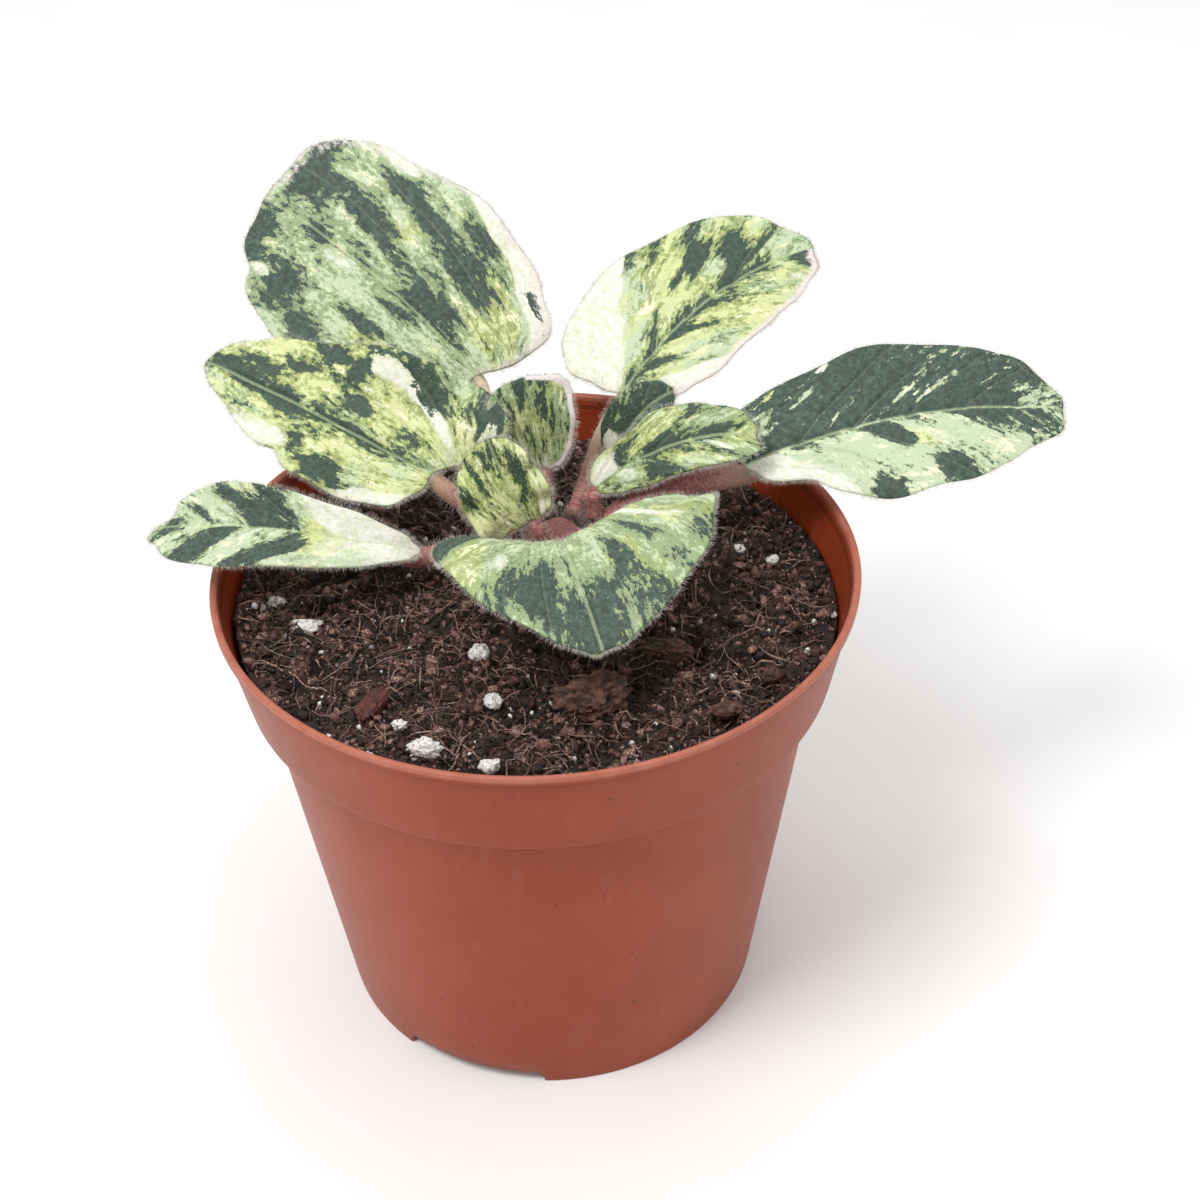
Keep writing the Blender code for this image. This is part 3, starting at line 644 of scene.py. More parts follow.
def makeFibres(name, count, length, thickness, curl, lift):
    # each fibre is a walk over the soil whose heading drifts, so it bends and curls
    steps = 12
    radius = np.sqrt(rng.random(count)) * (soil["edge"] - 3.0)
    spot = rng.random(count) * 2 * np.pi
    along = rng.uniform(*length, count)
    drift = rng.normal(0, curl, count)[:, None] + rng.normal(0, curl * 0.7, (count, steps))
    heading = rng.random(count)[:, None] * 2 * np.pi + np.cumsum(drift, axis=1)
    step = (along / steps)[:, None]
    x = radius[:, None] * np.cos(spot)[:, None] + np.cumsum(np.cos(heading) * step, axis=1)
    y = radius[:, None] * np.sin(spot)[:, None] + np.cumsum(np.sin(heading) * step, axis=1)
    away = np.hypot(x, y)
    pull = np.minimum(1.0, (soil["edge"] - 0.6) / np.maximum(away, 1e-6))
    x, y = x * pull, y * pull
    t = np.linspace(0, 1, steps)[None]
    arch, tipUp = rng.uniform(0.0, lift, count)[:, None], rng.uniform(0.0, lift, count)[:, None]
    ground = soilHeight(x, y)
    ground = np.maximum(ground, 0.5 * (ground + np.mean(ground, axis=1, keepdims=True)))
    z = ground + 0.12 + arch * np.sin(np.pi * t) + tipUp * t ** 2 * 0.8
    thick = rng.uniform(*thickness, count)[:, None] * (1 - 0.65 * t ** 3) * (0.6 + 0.4 * np.sin(np.pi * t))
    points, faces = tubes(np.stack([x, y, z], -1), thick, 4)
    shade = np.zeros((count, steps * 4, 3))
    shade[..., 0] = rng.random(count)[:, None] ** 1.3
    putMesh(name, points, faces, fibreSkin, (), {"grainMap": shade.reshape(-1, 3)})


makeSoil()
crumbSizes = lambda n: np.minimum(rng.lognormal(-0.3, 0.42, n), 2.2)
dustSizes = lambda n: rng.uniform(0.25, 0.6, n)
whiteSizes = lambda n: rng.uniform(0.35, 1.15, n)
scatter("soilCrumbs", soil["crumbs"], crumbSizes, 0.35, crumbSkin, 0.3, 0.8)
scatter("soilDust", soil["dust"], dustSizes, 0.5, crumbSkin, 0.1, 0.6)
scatter("perliteBits", soil["whiteBits"], whiteSizes, 0.6, perliteSkin, 0.15)
makeFibres("coirFibres", soil["coir"], (1.8, 7.0), (0.07, 0.18), 0.05, 1.0)
makeFibres("rootHairs", soil["rootHairs"], (5.0, 14.0), (0.04, 0.08), 0.2, 1.4)
print("soil made")


# for each: material, slot, fineness of the ball, squareness (2 is round), dent depth, seed, size in mm, turn
stones = {f"perlite_{n:02d}": (perliteSkin, "perlite", 4, 2.2, 0.36, 50 + n) for n in range(1, 11)}
stones.update({
    "bark_chip": (barkSkin, "bark", 5, 3.2, 0.3, 71, (7.5, 3.2, 2.2), 62),
    "peat_lump_front": (peatSkin, "bark", 6, 2.2, 0.5, 73, (11, 8.5, 4.6), 25),
    "peat_lump_right": (peatSkin, "bark", 5, 2.2, 0.5, 74, (8, 5, 3.2), -20),
    "wood_chip_right": (peatSkin, "bark", 4, 2.6, 0.4, 75, (5, 2.8, 2.2), 10),
    "wood_chip_far": (peatSkin, "bark", 4, 2.6, 0.4, 76, (3.8, 2.6, 2.0), 70),
})


def makeStone(node, material, slot, level, sharp, dent, seed, size=None, turn=0.0):
    # a ball squared off, dented by noise at two sizes, turned and set where the node stands
    low, high = [np.array(c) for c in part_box(node)]
    centre = ((low + high) / 2 - potAxis) / mm - np.array([0, 0, 0.3])
    half = np.array(size) / 2 if size else (high - low) / 2 / mm
    shape, triangles = icosphere(level)
    boxy = shape / (np.sum(np.abs(shape) ** sharp, axis=1, keepdims=True) ** (1 / sharp))
    big = layered(shape * 1.5 + seed, seed, 2)
    small = layered(shape * 5.5 + seed, seed + 5, 4, 0.7)
    chips = np.abs(layered(shape * 2.6 + seed, seed + 9, 2))
    points = boxy * (1.0 + dent * big + dent * 0.45 * small - dent * 1.2 * chips)[:, None]
    points = points / np.abs(points).max(axis=0) * half
    c, d = math.cos(math.radians(turn)), math.sin(math.radians(turn))
    points = points @ np.array([[c, d, 0], [-d, c, 0], [0, 0, 1]]) + centre
    shade = np.zeros_like(points)
    shade[:, 0] = 0.5 + 0.5 * small
    putMesh(node + "_grain", points, triangles, material, [node], {"grainMap": shade})


for stoneName, stoneShape in stones.items():
    makeStone(stoneName, *stoneShape)
print("grains made")


crown = {
    "centre": (3.0, 10.0), "bottom": 63.0, "height": 7.4, "radius": 4.3,
    "hairs": 1500, "hairBand": (66.5, 71.0),
}


def makeCrown():
    # a stub with a domed top, its radius rippled where old stalks have fallen
    rows, around = 40, 72
    h, a = np.meshgrid(np.linspace(0, 1, rows), np.arange(around) / around * 2 * np.pi, indexing="ij")
    dome = np.sqrt(np.clip(1 - np.clip((h - 0.72) / 0.28, 0, 1) ** 2, 0.0004, 1))
    z = crown["bottom"] + crown["height"] * h
    r = (crown["radius"] + 0.5 * h + 0.35 * np.sin(5 * a + 9 * h)) * dome
    r = r * (1 + 0.1 * layered(np.stack([np.cos(a) * 2, np.sin(a) * 2, h * 4], -1), 3, 3))
    x, y = crown["centre"][0] + r * np.cos(a), crown["centre"][1] + r * np.sin(a)
    points = np.stack([x, y, z], -1).reshape(-1, 3)
    faces = revolveFaces(rows, around)[:, ::-1].tolist()
    faces += [list(range(around))[::-1], list(range((rows - 1) * around, rows * around))]
    place = np.stack([h * 3, a * 4, np.zeros_like(h) - 0.3], -1).reshape(-1, 3)
    putMesh("crownStub", points, faces, stalkSkin, ["crown_stem"], {"stalkMap": place})


makeCrown()


# stalk and rib: points along the stalk and the midrib. face: the way the blade looks at its base and tip.
# Pairs are for the left and right half seen from above with the tip pointing away: half width, fold angle in
# degrees, how far the base lobe reaches back, how much the edge curls and the lobe lifts.
# outline: bulges as (degrees round from the tip, spread in degrees, share of the radius).
# taper: how much narrower the tip end is. point: how much the tip sharpens. wave: height, count, phase.
# slant: how steeply side veins run to the tip, or 0 where they fan from the base. grid: squares of the mesh.
# shade, lime, green: how much dark, lime and green the whole blade has. young: how warm its dark patches are.
# ribDark: extra dark along the midrib. margin: how pale the rims are. reddish: how far pink runs up a stalk.
# dark, pale and limeSpots: patches as (across -1..1, base to tip -1..1, length and width in mm, strength).
plainLeaf = {
    "curl": (0, 0), "lift": (0, 0), "point": 0.0, "slant": 0, "young": 0.0, "margin": (0.0, 0.0),
    "wave": (0.5, 2.2, 0.2), "grid": 130, "hairs": 5000, "reddish": 0.6,
}
leaves = {
    "leaf_back_left": {**plainLeaf,
        "stalk": [(1.2, 15.2, 68.9), (-2, 24, 72), (-6, 31, 76)],
        "rib": [(-7.6, 36.6, 80.6), (-16.2, 44, 88), (-27, 53, 96), (-39, 60, 99.5)],
        "face": [(0.25, -0.62, 0.8), (0.2, -0.62, 0.8)], "stalkRadius": 1.45, "half": (18.5, 20.5),
        "fold": (8, 8), "lobe": (7, 11), "taper": -0.02, "wave": (0.7, 2.4, 0.5), "grid": 150, "seed": 1.0,
        "ribDark": 0.12, "shade": 0.31, "lime": 0.2, "green": 0.5, "margin": (0.0, 0.5), "hairs": 6500,
        "reddish": 0.2,
        "outline": [(36, 24, 0.10), (-66, 18, 0.05), (-42, 8, -0.035), (150, 22, 0.07), (62, 7, -0.03)],
        "dark": [(0.12, -0.38, 6, 3.0, 0.42), (0.5, -0.3, 6, 2.6, 0.48), (0.78, -0.12, 3.5, 2.0, 0.42),
            (0.6, 0.06, 3, 1.2, 0.42), (0.72, -0.6, 6, 1.6, 0.75), (0.36, 0.36, 5.5, 1.5, 0.5),
            (0.22, 0.12, 4, 1.0, 0.4), (0.68, 0.34, 5.5, 1.4, 0.5), (0.3, 0.74, 3.5, 2.4, 0.4),
            (-0.08, 0.94, 3, 3, 0.35), (0.5, 0.84, 1.6, 5, 0.35), (-0.04, 0.52, 2.4, 1.8, 0.35),
            (-0.6, 0.46, 4, 3.2, 0.45), (-0.42, -0.08, 4.4, 1.2, 0.45), (-0.14, -0.25, 5, 0.7, 0.45),
            (-0.8, 0.12, 3, 2.4, 0.4), (-0.45, 0.82, 3, 2.4, 0.35), (-0.2, 0.72, 2.6, 1.2, 0.3),
            (0.1, 0.3, 4, 0.8, 0.25)],
        "pale": [(0.93, -0.3, 10, 1.5, 0.8), (0.85, -0.5, 8, 1.9, 0.85), (0.97, -0.05, 5, 1.4, 0.7),
            (0.62, -0.78, 7, 2.2, 0.9), (0.82, 0.5, 3.4, 2.2, 0.6), (0.42, 0.12, 4.5, 1.2, 0.4),
            (0.5, 0.3, 3, 1.0, 0.3), (-0.1, 0.28, 6, 1.5, 0.45), (-0.62, 0.68, 4, 1.2, 0.45),
            (-0.3, 0.1, 8, 0.8, 0.3), (0.0, 0.65, 3, 0.8, 0.3)],
        "limeSpots": [(0.45, -0.62, 9, 2.2, 0.8), (0.2, -0.8, 5, 3, 0.6), (0.85, -0.3, 8, 1.2, 0.6),
            (0.42, 0.2, 6, 2, 0.4), (-0.5, -0.3, 6, 3, 0.3)],
    },
    "leaf_left": {**plainLeaf,
        "stalk": [(-2.75, 10.4, 70.4), (-7, 10.5, 73), (-11, 11, 76)],
        "rib": [(-14.3, 12, 79.5), (-24, 17, 82.5), (-35, 24, 86.6), (-46.5, 31.5, 87.6)],
        "face": [(-0.1, -0.45, 0.9), (-0.1, -0.4, 0.9)], "stalkRadius": 1.4, "half": (10.3, 11.4),
        "fold": (8, 13), "lobe": (4, 20), "taper": 0.12, "point": 0.1, "curl": (0, 1.5),
        "wave": (0.9, 2.3, 0.2), "lift": (0, 4.4), "seed": 2.0, "ribDark": 0.2, "shade": 0.34, "lime": 0.62,
        "green": 0.46, "young": 0.35, "reddish": 0.5,
        "outline": [(12, 10, 0.03), (-36, 16, -0.11), (-78, 7, -0.17), (-60, 14, -0.1), (105, 30, 0.16),
            (150, 25, 0.08), (-125, 20, -0.03)],
        "dark": [(0.12, 0.82, 4, 0.8, 0.5), (0.3, 0.62, 4, 0.9, 0.5), (-0.06, 0.6, 3.5, 0.8, 0.4),
            (0.8, 0.3, 3.2, 0.9, 0.5), (0.5, 0.45, 3, 0.8, 0.35), (0.35, -0.08, 2.6, 1.3, 0.5),
            (0.65, 0.1, 1.4, 1.2, 0.45), (-0.1, 0.25, 4, 1.2, 0.5), (0.02, -0.3, 5, 0.7, 0.5),
            (0.8, -0.2, 6, 1.5, 0.6), (0.62, -0.35, 4, 0.9, 0.45), (0.8, -0.62, 3.4, 2.8, 0.65),
            (-0.6, 0.1, 2, 1.5, 0.45), (-0.72, -0.2, 3.2, 2.0, 0.55), (-0.93, -0.5, 3, 1.8, 0.5),
            (-0.8, 0.62, 2.2, 1.2, 0.4), (0.25, -0.55, 3, 1.0, 0.3), (0.9, 0.1, 2.0, 1.2, 0.35)],
        "pale": [(-0.72, 0.4, 8, 1.8, 0.75), (-0.85, -0.75, 8, 2.2, 0.75), (0.82, -0.03, 5.5, 1.5, 0.6),
            (0.5, -0.55, 6, 1.6, 0.65), (0.3, 0.25, 3, 1.6, 0.3), (0.62, -0.9, 4, 2, 0.6),
            (-0.35, -0.45, 5, 1.4, 0.35)],
        "limeSpots": [(0.5, 0.4, 9, 5, 0.4), (0.4, -0.45, 6, 3, 0.4)],
    },
    "leaf_back_right": {**plainLeaf,
        "stalk": [(6.0, 15.1, 68.9), (8.2, 19, 72.8), (11, 24, 77.5)],
        "rib": [(13.8, 28, 81.5), (20, 34.5, 87), (30, 43, 93), (44.6, 49.5, 93)],
        "face": [(-0.35, -0.5, 0.8), (-0.15, -0.5, 0.85)], "stalkRadius": 1.4, "half": (14.6, 11),
        "fold": (8, 12), "lobe": (9, 4), "taper": 0.04, "wave": (0.6, 2.2, 0.2), "seed": 3.0,
        "ribDark": 0.3, "slant": 1.7, "shade": 0.3, "lime": 0.5, "green": 0.46, "young": 0.3,
        "margin": (0.0, 0.6), "reddish": 0.3,
        "outline": [(-120, 25, 0.06), (-30, 12, -0.04), (60, 14, -0.03)],
        "dark": [(-0.4, 0.53, 3.2, 2.0, 0.6), (-0.45, 0.28, 3.2, 1.5, 0.55), (-0.13, 0.4, 4.2, 1.2, 0.6),
            (-0.3, 0.74, 4, 0.8, 0.5), (-0.85, 0.2, 3.5, 1.2, 0.45), (-0.9, 0.03, 2.5, 1.2, 0.45),
            (-0.9, 0.5, 5, 1.0, 0.35), (-0.4, 0.08, 3, 0.6, 0.5), (0.12, 0.9, 2.2, 2.0, 0.65),
            (0.06, -0.3, 8, 0.8, 0.5), (-0.04, -0.5, 7, 0.5, 0.4), (0.05, 0.05, 6, 0.7, 0.35),
            (0.2, -0.55, 3, 1.0, 0.4), (-0.6, 0.4, 2.5, 1.4, 0.3)],
        "pale": [(-0.72, -0.45, 11, 6.0, 0.8), (-0.35, -0.75, 7, 3.5, 0.75), (0.88, -0.3, 12, 1.9, 0.75),
            (0.75, -0.75, 8, 2.4, 0.7), (0.4, 0.75, 3, 1.6, 0.35), (-0.95, -0.1, 5, 3, 0.5),
            (0.9, 0.3, 6, 1.2, 0.35)],
        "limeSpots": [(0.4, 0.1, 12, 3, 0.5), (-0.6, 0.1, 6, 4, 0.3)],
    },
    "leaf_right": {**plainLeaf,
        "stalk": [(8.7, 10.3, 68.4), (14, 10.7, 73.5), (22, 10.9, 76.5)],
        "rib": [(30.5, 11, 79.5), (45, 12.5, 84.5), (60, 14.5, 87), (76.3, 15, 83.5)],
        "face": [(0, -0.45, 0.9), (0, -0.3, 0.9)], "stalkRadius": 1.9, "half": (12.2, 11.6), "fold": (8, 4),
        "lobe": (3, 0), "taper": -0.08, "curl": (0, -1), "wave": (0.6, 2.2, 0.2), "seed": 4.0,
        "ribDark": 0.2, "slant": 1.45, "shade": 0.3, "lime": 0.05, "green": 0.34, "reddish": 0.65,
        "outline": [(42, 14, -0.07), (96, 16, 0.07), (138, 18, -0.13), (-148, 24, 0.15)],
        "dark": [(-0.55, 0.2, 16, 9, 0.37), (-0.5, -0.5, 14, 7, 0.4), (-0.35, 0.7, 12, 7, 0.36),
            (-0.1, 0.3, 7, 1.6, 0.45), (0.12, -0.15, 5, 1.4, 0.5), (0.25, -0.08, 3, 1.5, 0.4),
            (0.15, 0.78, 6, 4, 0.36), (0.92, -0.2, 2.6, 2.2, 0.65), (0.86, 0.25, 4, 2.2, 0.6),
            (0.1, 0.5, 5, 1.6, 0.35), (-0.8, -0.1, 9, 4, 0.2), (0.75, 0.45, 3, 1.5, 0.3),
            (-0.25, -0.2, 8, 1.4, 0.25), (-0.3, 0.05, 3.5, 0.35, -0.4), (-0.2, -0.35, 5, 0.35, -0.4),
            (-0.45, -0.2, 6, 0.35, -0.4), (-0.4, 0.3, 5, 0.3, -0.4), (-0.35, 0.55, 5, 0.3, -0.4),
            (-0.6, -0.45, 5, 0.35, -0.4), (-0.7, 0.45, 5, 0.3, -0.35)],
        "pale": [(0.3, -0.88, 6, 4, 0.7), (0.85, -0.6, 5, 2.2, 0.7), (-0.93, -0.33, 1.8, 0.9, 0.5),
            (0.5, 0.0, 4, 3, 0.25), (0.45, -0.4, 5, 3, 0.25)],
        "limeSpots": [(-0.8, -0.7, 5, 2, 0.6), (0.3, 0.05, 4, 1.5, 0.5)],
    },
    "leaf_lower_left": {**plainLeaf,
        "stalk": [(-2.3, 8.2, 68.4), (-6, 6.7, 69.6), (-11, 5, 70.8)],
        "rib": [(-16, 4, 72), (-30, 1.2, 77.5), (-42, 2, 80.5), (-53.5, 3, 78)],
        "face": [(0, -0.35, 0.9), (0, -0.35, 0.9)], "stalkRadius": 1.5, "half": (7.6, 6.4),
        "fold": (20, 35), "lobe": (0, 0), "taper": -0.3, "wave": (0.4, 2, 0.2), "grid": 110, "seed": 5.0,
        "ribDark": 0, "slant": 1.3, "shade": 0.34, "lime": 0.12, "green": 0.4, "margin": (0.0, 0.3),
        "hairs": 4200, "reddish": 0.9,
        "outline": [(16, 14, -0.2), (38, 14, -0.1), (-20, 10, -0.06)],
        "dark": [(0.0, 0.82, 3, 1.2, 0.5), (-0.35, 0.5, 6, 1.6, 0.5), (-0.7, 0.7, 4, 1.8, 0.45),
            (-0.8, 0.15, 7, 1.8, 0.5), (0.62, 0.05, 4.5, 2.2, 0.55), (0.75, 0.35, 3, 0.9, 0.45),
            (0.2, 0.12, 5, 1.4, 0.45), (0.35, 0.6, 3, 0.8, 0.35), (-0.5, -0.05, 5, 1.6, 0.3)],
        "pale": [(0.0, -0.65, 13, 6, 0.5), (0.85, -0.35, 9, 2, 0.6), (0.9, 0.2, 6, 0.8, 0.5),
            (-0.2, 0.2, 6, 0.5, 0.55), (0.5, 0.4, 4, 1.0, 0.4), (0.0, -0.95, 5, 5, 0.5)],
        "limeSpots": [(0.0, -0.35, 5, 3, 0.6)],
    },
    "leaf_front": {**plainLeaf,
        "stalk": [(3.2, 4.1, 69.2), (3.4, 0.6, 71.6), (3.4, -3.2, 75.6)],
        "rib": [(3.4, -7.0, 80.5), (4.3, -12.6, 82.3), (5.9, -20, 81.3), (8, -27, 77)],
        "face": [(-0.2, 0.1, 1), (-0.1, -0.1, 1)], "stalkRadius": 1.5, "half": (20, 15.5), "fold": (-2, 17),
        "lobe": (16.5, 22), "taper": 0.28, "point": 0.4, "curl": (-1, -1.5), "lift": (2, 0), "seed": 6.0,
        "ribDark": 0.1, "shade": 0.27, "lime": 0.3, "green": 0.58, "young": 0.05, "reddish": 0.7,
        "outline": [(-96, 20, 0.04), (-128, 16, -0.05), (122, 26, 0.10), (76, 18, 0.10), (-35, 15, 0.03)],
        "dark": [(-0.45, -0.3, 6, 1.1, 0.4), (-0.32, -0.05, 4.5, 1.6, 0.42), (-0.2, 0.3, 4, 2.2, 0.34),
            (-0.6, 0.58, 4.5, 2.4, 0.34), (-0.95, 0.1, 3, 2, 0.4), (0.45, 0.1, 4, 3, 0.42),
            (0.7, 0.35, 4, 3, 0.32), (0.35, 0.45, 5, 3.2, 0.34), (-0.1, 0.72, 5, 2, 0.35),
            (0.05, 0.92, 4, 4, 0.3), (0.2, -0.15, 2.4, 1.4, 0.35), (0.88, -0.55, 4, 3.2, 0.5),
            (0.6, -0.75, 4, 1.6, 0.4), (-0.75, 0.3, 2.5, 1.4, 0.3)],
        "pale": [(0.58, -0.12, 4, 1.8, 0.5), (-0.45, 0.42, 3, 1.1, 0.22), (0.5, 0.5, 3, 1.2, 0.22),
            (-0.35, -0.88, 8, 1.6, 0.65), (0.02, 0.35, 6, 0.7, 0.35), (-0.8, -0.1, 4, 2, 0.3),
            (0.9, 0.05, 3, 2, 0.35), (-0.75, -0.7, 6, 1.2, 0.4)],
        "limeSpots": [(0.85, -0.1, 5, 3, 0.6), (-0.6, -0.5, 7, 3, 0.3), (-0.45, 0.1, 5, 2, 0.3)],
    },
    "young_leaf_back": {**plainLeaf,
        "stalk": [(2.0, 15.9, 71.8), (2.0, 16.0, 74), (2, 15.9, 75.5)],
        "rib": [(1.8, 15.8, 77), (1.2, 16, 82), (0.2, 17, 88), (-0.4, 18.4, 90.8)],
        "face": [(-0.05, -0.9, 0.4), (0, -0.9, 0.5)], "stalkRadius": 1, "half": (6.8, 6.2),
        "fold": (25, 25), "lobe": (2, 2), "taper": -0.3, "wave": (0.3, 2.2, 0.2), "grid": 80, "seed": 7.0,
        "ribDark": 0.1, "shade": 0.39, "lime": 0.4, "green": 0.5, "young": 0.7, "margin": (0.3, 1.0),
        "hairs": 2600,
        "outline": [(46, 18, 0.12), (-40, 16, 0.04)],
        "dark": [(-0.5, 0.2, 4, 0.8, 0.3), (-0.2, 0.55, 3, 0.8, 0.3), (0.3, 0.3, 3, 0.7, 0.3),
            (0.5, 0.05, 3, 0.7, 0.3), (0, 0.95, 2, 4, 0.3)],
        "pale": [(-0.9, 0.0, 5, 0.9, 0.6), (0.1, -0.9, 2.5, 2, 0.5)],
        "limeSpots": [(0.2, 0.3, 4, 3, 0.3)],
    },
    "young_leaf_front": {**plainLeaf,
        "stalk": [(1.2, 4.9, 72), (1.0, 4.2, 73.3), (0.6, 4, 74.6)],
        "rib": [(-0.4, 4, 76), (-2.4, 3.8, 79.5), (-4.4, 4.8, 84), (-5.8, 7, 88)],
        "face": [(0, -0.9, 0.5), (0, -0.9, 0.5)], "stalkRadius": 1.1, "half": (7.4, 5.6), "fold": (15, 22),
        "lobe": (3, 2), "taper": 0.0, "wave": (0.8, 3, 0.2), "grid": 90, "seed": 8.0, "ribDark": 0.05,
        "shade": 0.37, "lime": 0.8, "green": 0.45, "young": 0.9, "hairs": 2600,
        "outline": [(-155, 22, -0.12), (75, 20, -0.08)],
        "dark": [(0.4, 0.35, 3, 1.4, 0.45), (-0.2, 0.5, 3, 0.6, 0.3), (-0.5, 0.5, 3, 0.6, 0.3),
            (-0.8, 0.2, 2, 0.8, 0.3), (0.0, 0.8, 2, 0.6, 0.3)],
        "pale": [(-0.6, -0.5, 3, 1.4, 0.4), (0.5, -0.7, 2.5, 1.0, 0.6), (-0.1, -0.85, 2.5, 1.5, 0.4)],
        "limeSpots": [(0.1, -0.3, 4, 2.5, 0.4)],
    },
    "young_leaf_right": {**plainLeaf,
        "stalk": [(8.7, 10.4, 72), (8.8, 10.8, 73.6), (8.8, 11, 74.8)],
        "rib": [(8.8, 11.2, 76.4), (14, 12, 80.5), (22, 11, 85.5), (31.5, 9.6, 85.5)],
        "face": [(-0.1, -0.6, 0.8), (0, -0.6, 0.8)], "stalkRadius": 1.1, "half": (6.6, 4.6),
        "fold": (12, 12), "lobe": (2, 0), "taper": -0.1, "point": 0.1, "grid": 100, "seed": 9.0,
        "ribDark": 0.15, "slant": 2.2, "shade": 0.4, "lime": 0.5, "green": 0.5, "young": 0.6, "hairs": 3000,
        "outline": [(-112, 30, -0.3), (-55, 20, -0.1), (38, 20, 0.24)],
        "dark": [(-0.1, 0.02, 3, 1.2, 0.4), (-0.35, -0.45, 3, 1.2, 0.35), (-0.1, 0.6, 5, 0.7, 0.4),
            (0.7, -0.05, 3, 1.2, 0.45), (-0.6, 0.4, 4, 0.7, 0.3)],
        "pale": [(-0.1, -0.8, 4, 3, 0.75), (0.3, -0.5, 3, 1.4, 0.6), (0.3, 0.6, 3, 0.6, 0.5),
            (-0.4, 0.15, 3, 0.6, 0.4)],
        "limeSpots": [(-0.5, 0.0, 5, 1.6, 0.5)],
    },
    "smallest_leaf": {**plainLeaf,
        "stalk": [(7.2, 14.2, 72), (9.4, 16.4, 73.2), (11.2, 18.2, 74.4)],
        "rib": [(12.4, 19.4, 76.4), (14.2, 20.4, 81), (17.2, 21.4, 84.2), (21, 22.4, 85)],
        "face": [(-0.1, -0.7, 0.6), (0, -0.7, 0.6)], "stalkRadius": 0.75, "half": (4.4, 4.2),
        "fold": (15, 15), "lobe": (1, 1), "taper": 0.1, "point": 0.1, "wave": (0.2, 2.2, 0.2), "grid": 70,
        "seed": 10.0, "ribDark": 0, "slant": 1.3, "shade": 0.7, "lime": 0.2, "green": 0.6, "young": 0.5,
        "hairs": 1600,
        "outline": [(40, 10, 0.05)],
        "dark": [],
        "pale": [(-0.2, -0.8, 3, 2, 0.6)],
        "limeSpots": [],
    },
}


def cubic(rib, t):
    # point and direction at share t of the cubic Bezier curve through the rib's four control points
    a, b, c, d = [np.array(p, float) for p in rib]
    t = t[..., None]
    place = (1 - t) ** 3 * a + 3 * (1 - t) ** 2 * t * b + 3 * (1 - t) * t * t * c + t ** 3 * d
    ahead = 3 * (1 - t) ** 2 * (b - a) + 6 * (1 - t) * t * (c - b) + 3 * t * t * (d - c)
    return place, ahead


def ribLength(leaf):
    # the length of the straight runs between the midrib's points
    rib = np.array(leaf["rib"], float)
    return float(np.linalg.norm(np.diff(rib, axis=0), axis=1).sum())


def bulged(leaf, x, y):
    # the disc point moved out or in by the outline's bulges, by the square of its distance from the middle
    angle = np.degrees(np.arctan2(x, y))
    grow = 0.012 * np.sin(13 * np.radians(angle) + leaf["seed"])
    for centre, spread, amount in leaf["outline"]:
        off = (angle - centre + 180) % 360 - 180
        grow = grow + amount * np.exp(-(off / spread) ** 2)
    keep = 1 + grow * (x * x + y * y)
    return x * keep, y * keep


def bladeCoords(leaf, x, y):
    # (x, y) in a unit disc to the share of the way along the midrib and the distance across it in mm
    right = x > 0
    pick = lambda key: np.where(right, leaf[key][1], leaf[key][0])
    along = 0.5 * (1 + y)
    behind = np.clip(1 - along, 0, None)
    share = along - pick("lobe") / ribLength(leaf) * np.abs(x) ** 1.3 * behind ** 1.5
    narrow = 1 - leaf["point"] * np.clip((y - 0.2) / 0.8, 0, 1) ** 2
    across = pick("half") * x * (1 - leaf["taper"] * y) * narrow
    return share, across, behind, pick


def bladeSurface(leaf, x, y):
    # midrib point, plus the distance across turned up by the fold, plus edge curl, lobe lift and a wavy rim
    x, y = bulged(leaf, x, y)
    share, across, behind, pick = bladeCoords(leaf, x, y)
    mix = np.clip(share, 0, 1)
    place, ahead = cubic(leaf["rib"], mix)
    _, start = cubic(leaf["rib"], np.zeros_like(share))
    _, end = cubic(leaf["rib"], np.ones_like(share))
    place = place + start * np.minimum(share, 0)[..., None] + end * np.maximum(share - 1, 0)[..., None]
    ahead = unit(ahead)
    face = np.array(leaf["face"][0]) * (1 - mix[..., None]) + np.array(leaf["face"][1]) * mix[..., None]
    up = unit(face - (face * ahead).sum(-1, keepdims=True) * ahead)
    sideways = np.cross(ahead, up)
    fold = np.radians(pick("fold").astype(float))
    edge = np.abs(across / pick("half"))
    rise = (np.sqrt((across * np.sin(fold)) ** 2 + 2.25) - 1.5) * np.where(fold < 0, -1, 1)
    rise = rise + pick("curl") * edge ** 3 + pick("lift") * edge ** 1.5 * behind ** 2
    size, waves, phase = leaf["wave"]
    phase = phase + np.where(x > 0, 0.0, 1.3)
    rise = rise + size * edge ** 2 * np.sin(2 * np.pi * waves * (1 - behind) + phase)
    return place + sideways * (across * np.cos(fold))[..., None] + up * rise[..., None]


def veinCoords(leaf, x, y):
    # distance across the veins and along them in mm: veins either fan from the base or slant off the midrib
    share, across, _, _ = bladeCoords(leaf, x, y)
    ahead = share * ribLength(leaf)
    if not leaf["slant"]:
        reach = np.hypot(across, ahead + 4)
        return np.arctan2(across, ahead + 4) * (8 + 0.45 * reach), reach
    tilt = math.hypot(1, leaf["slant"])
    return (ahead - leaf["slant"] * np.abs(across)) / tilt, (np.abs(across) + leaf["slant"] * ahead) / tilt


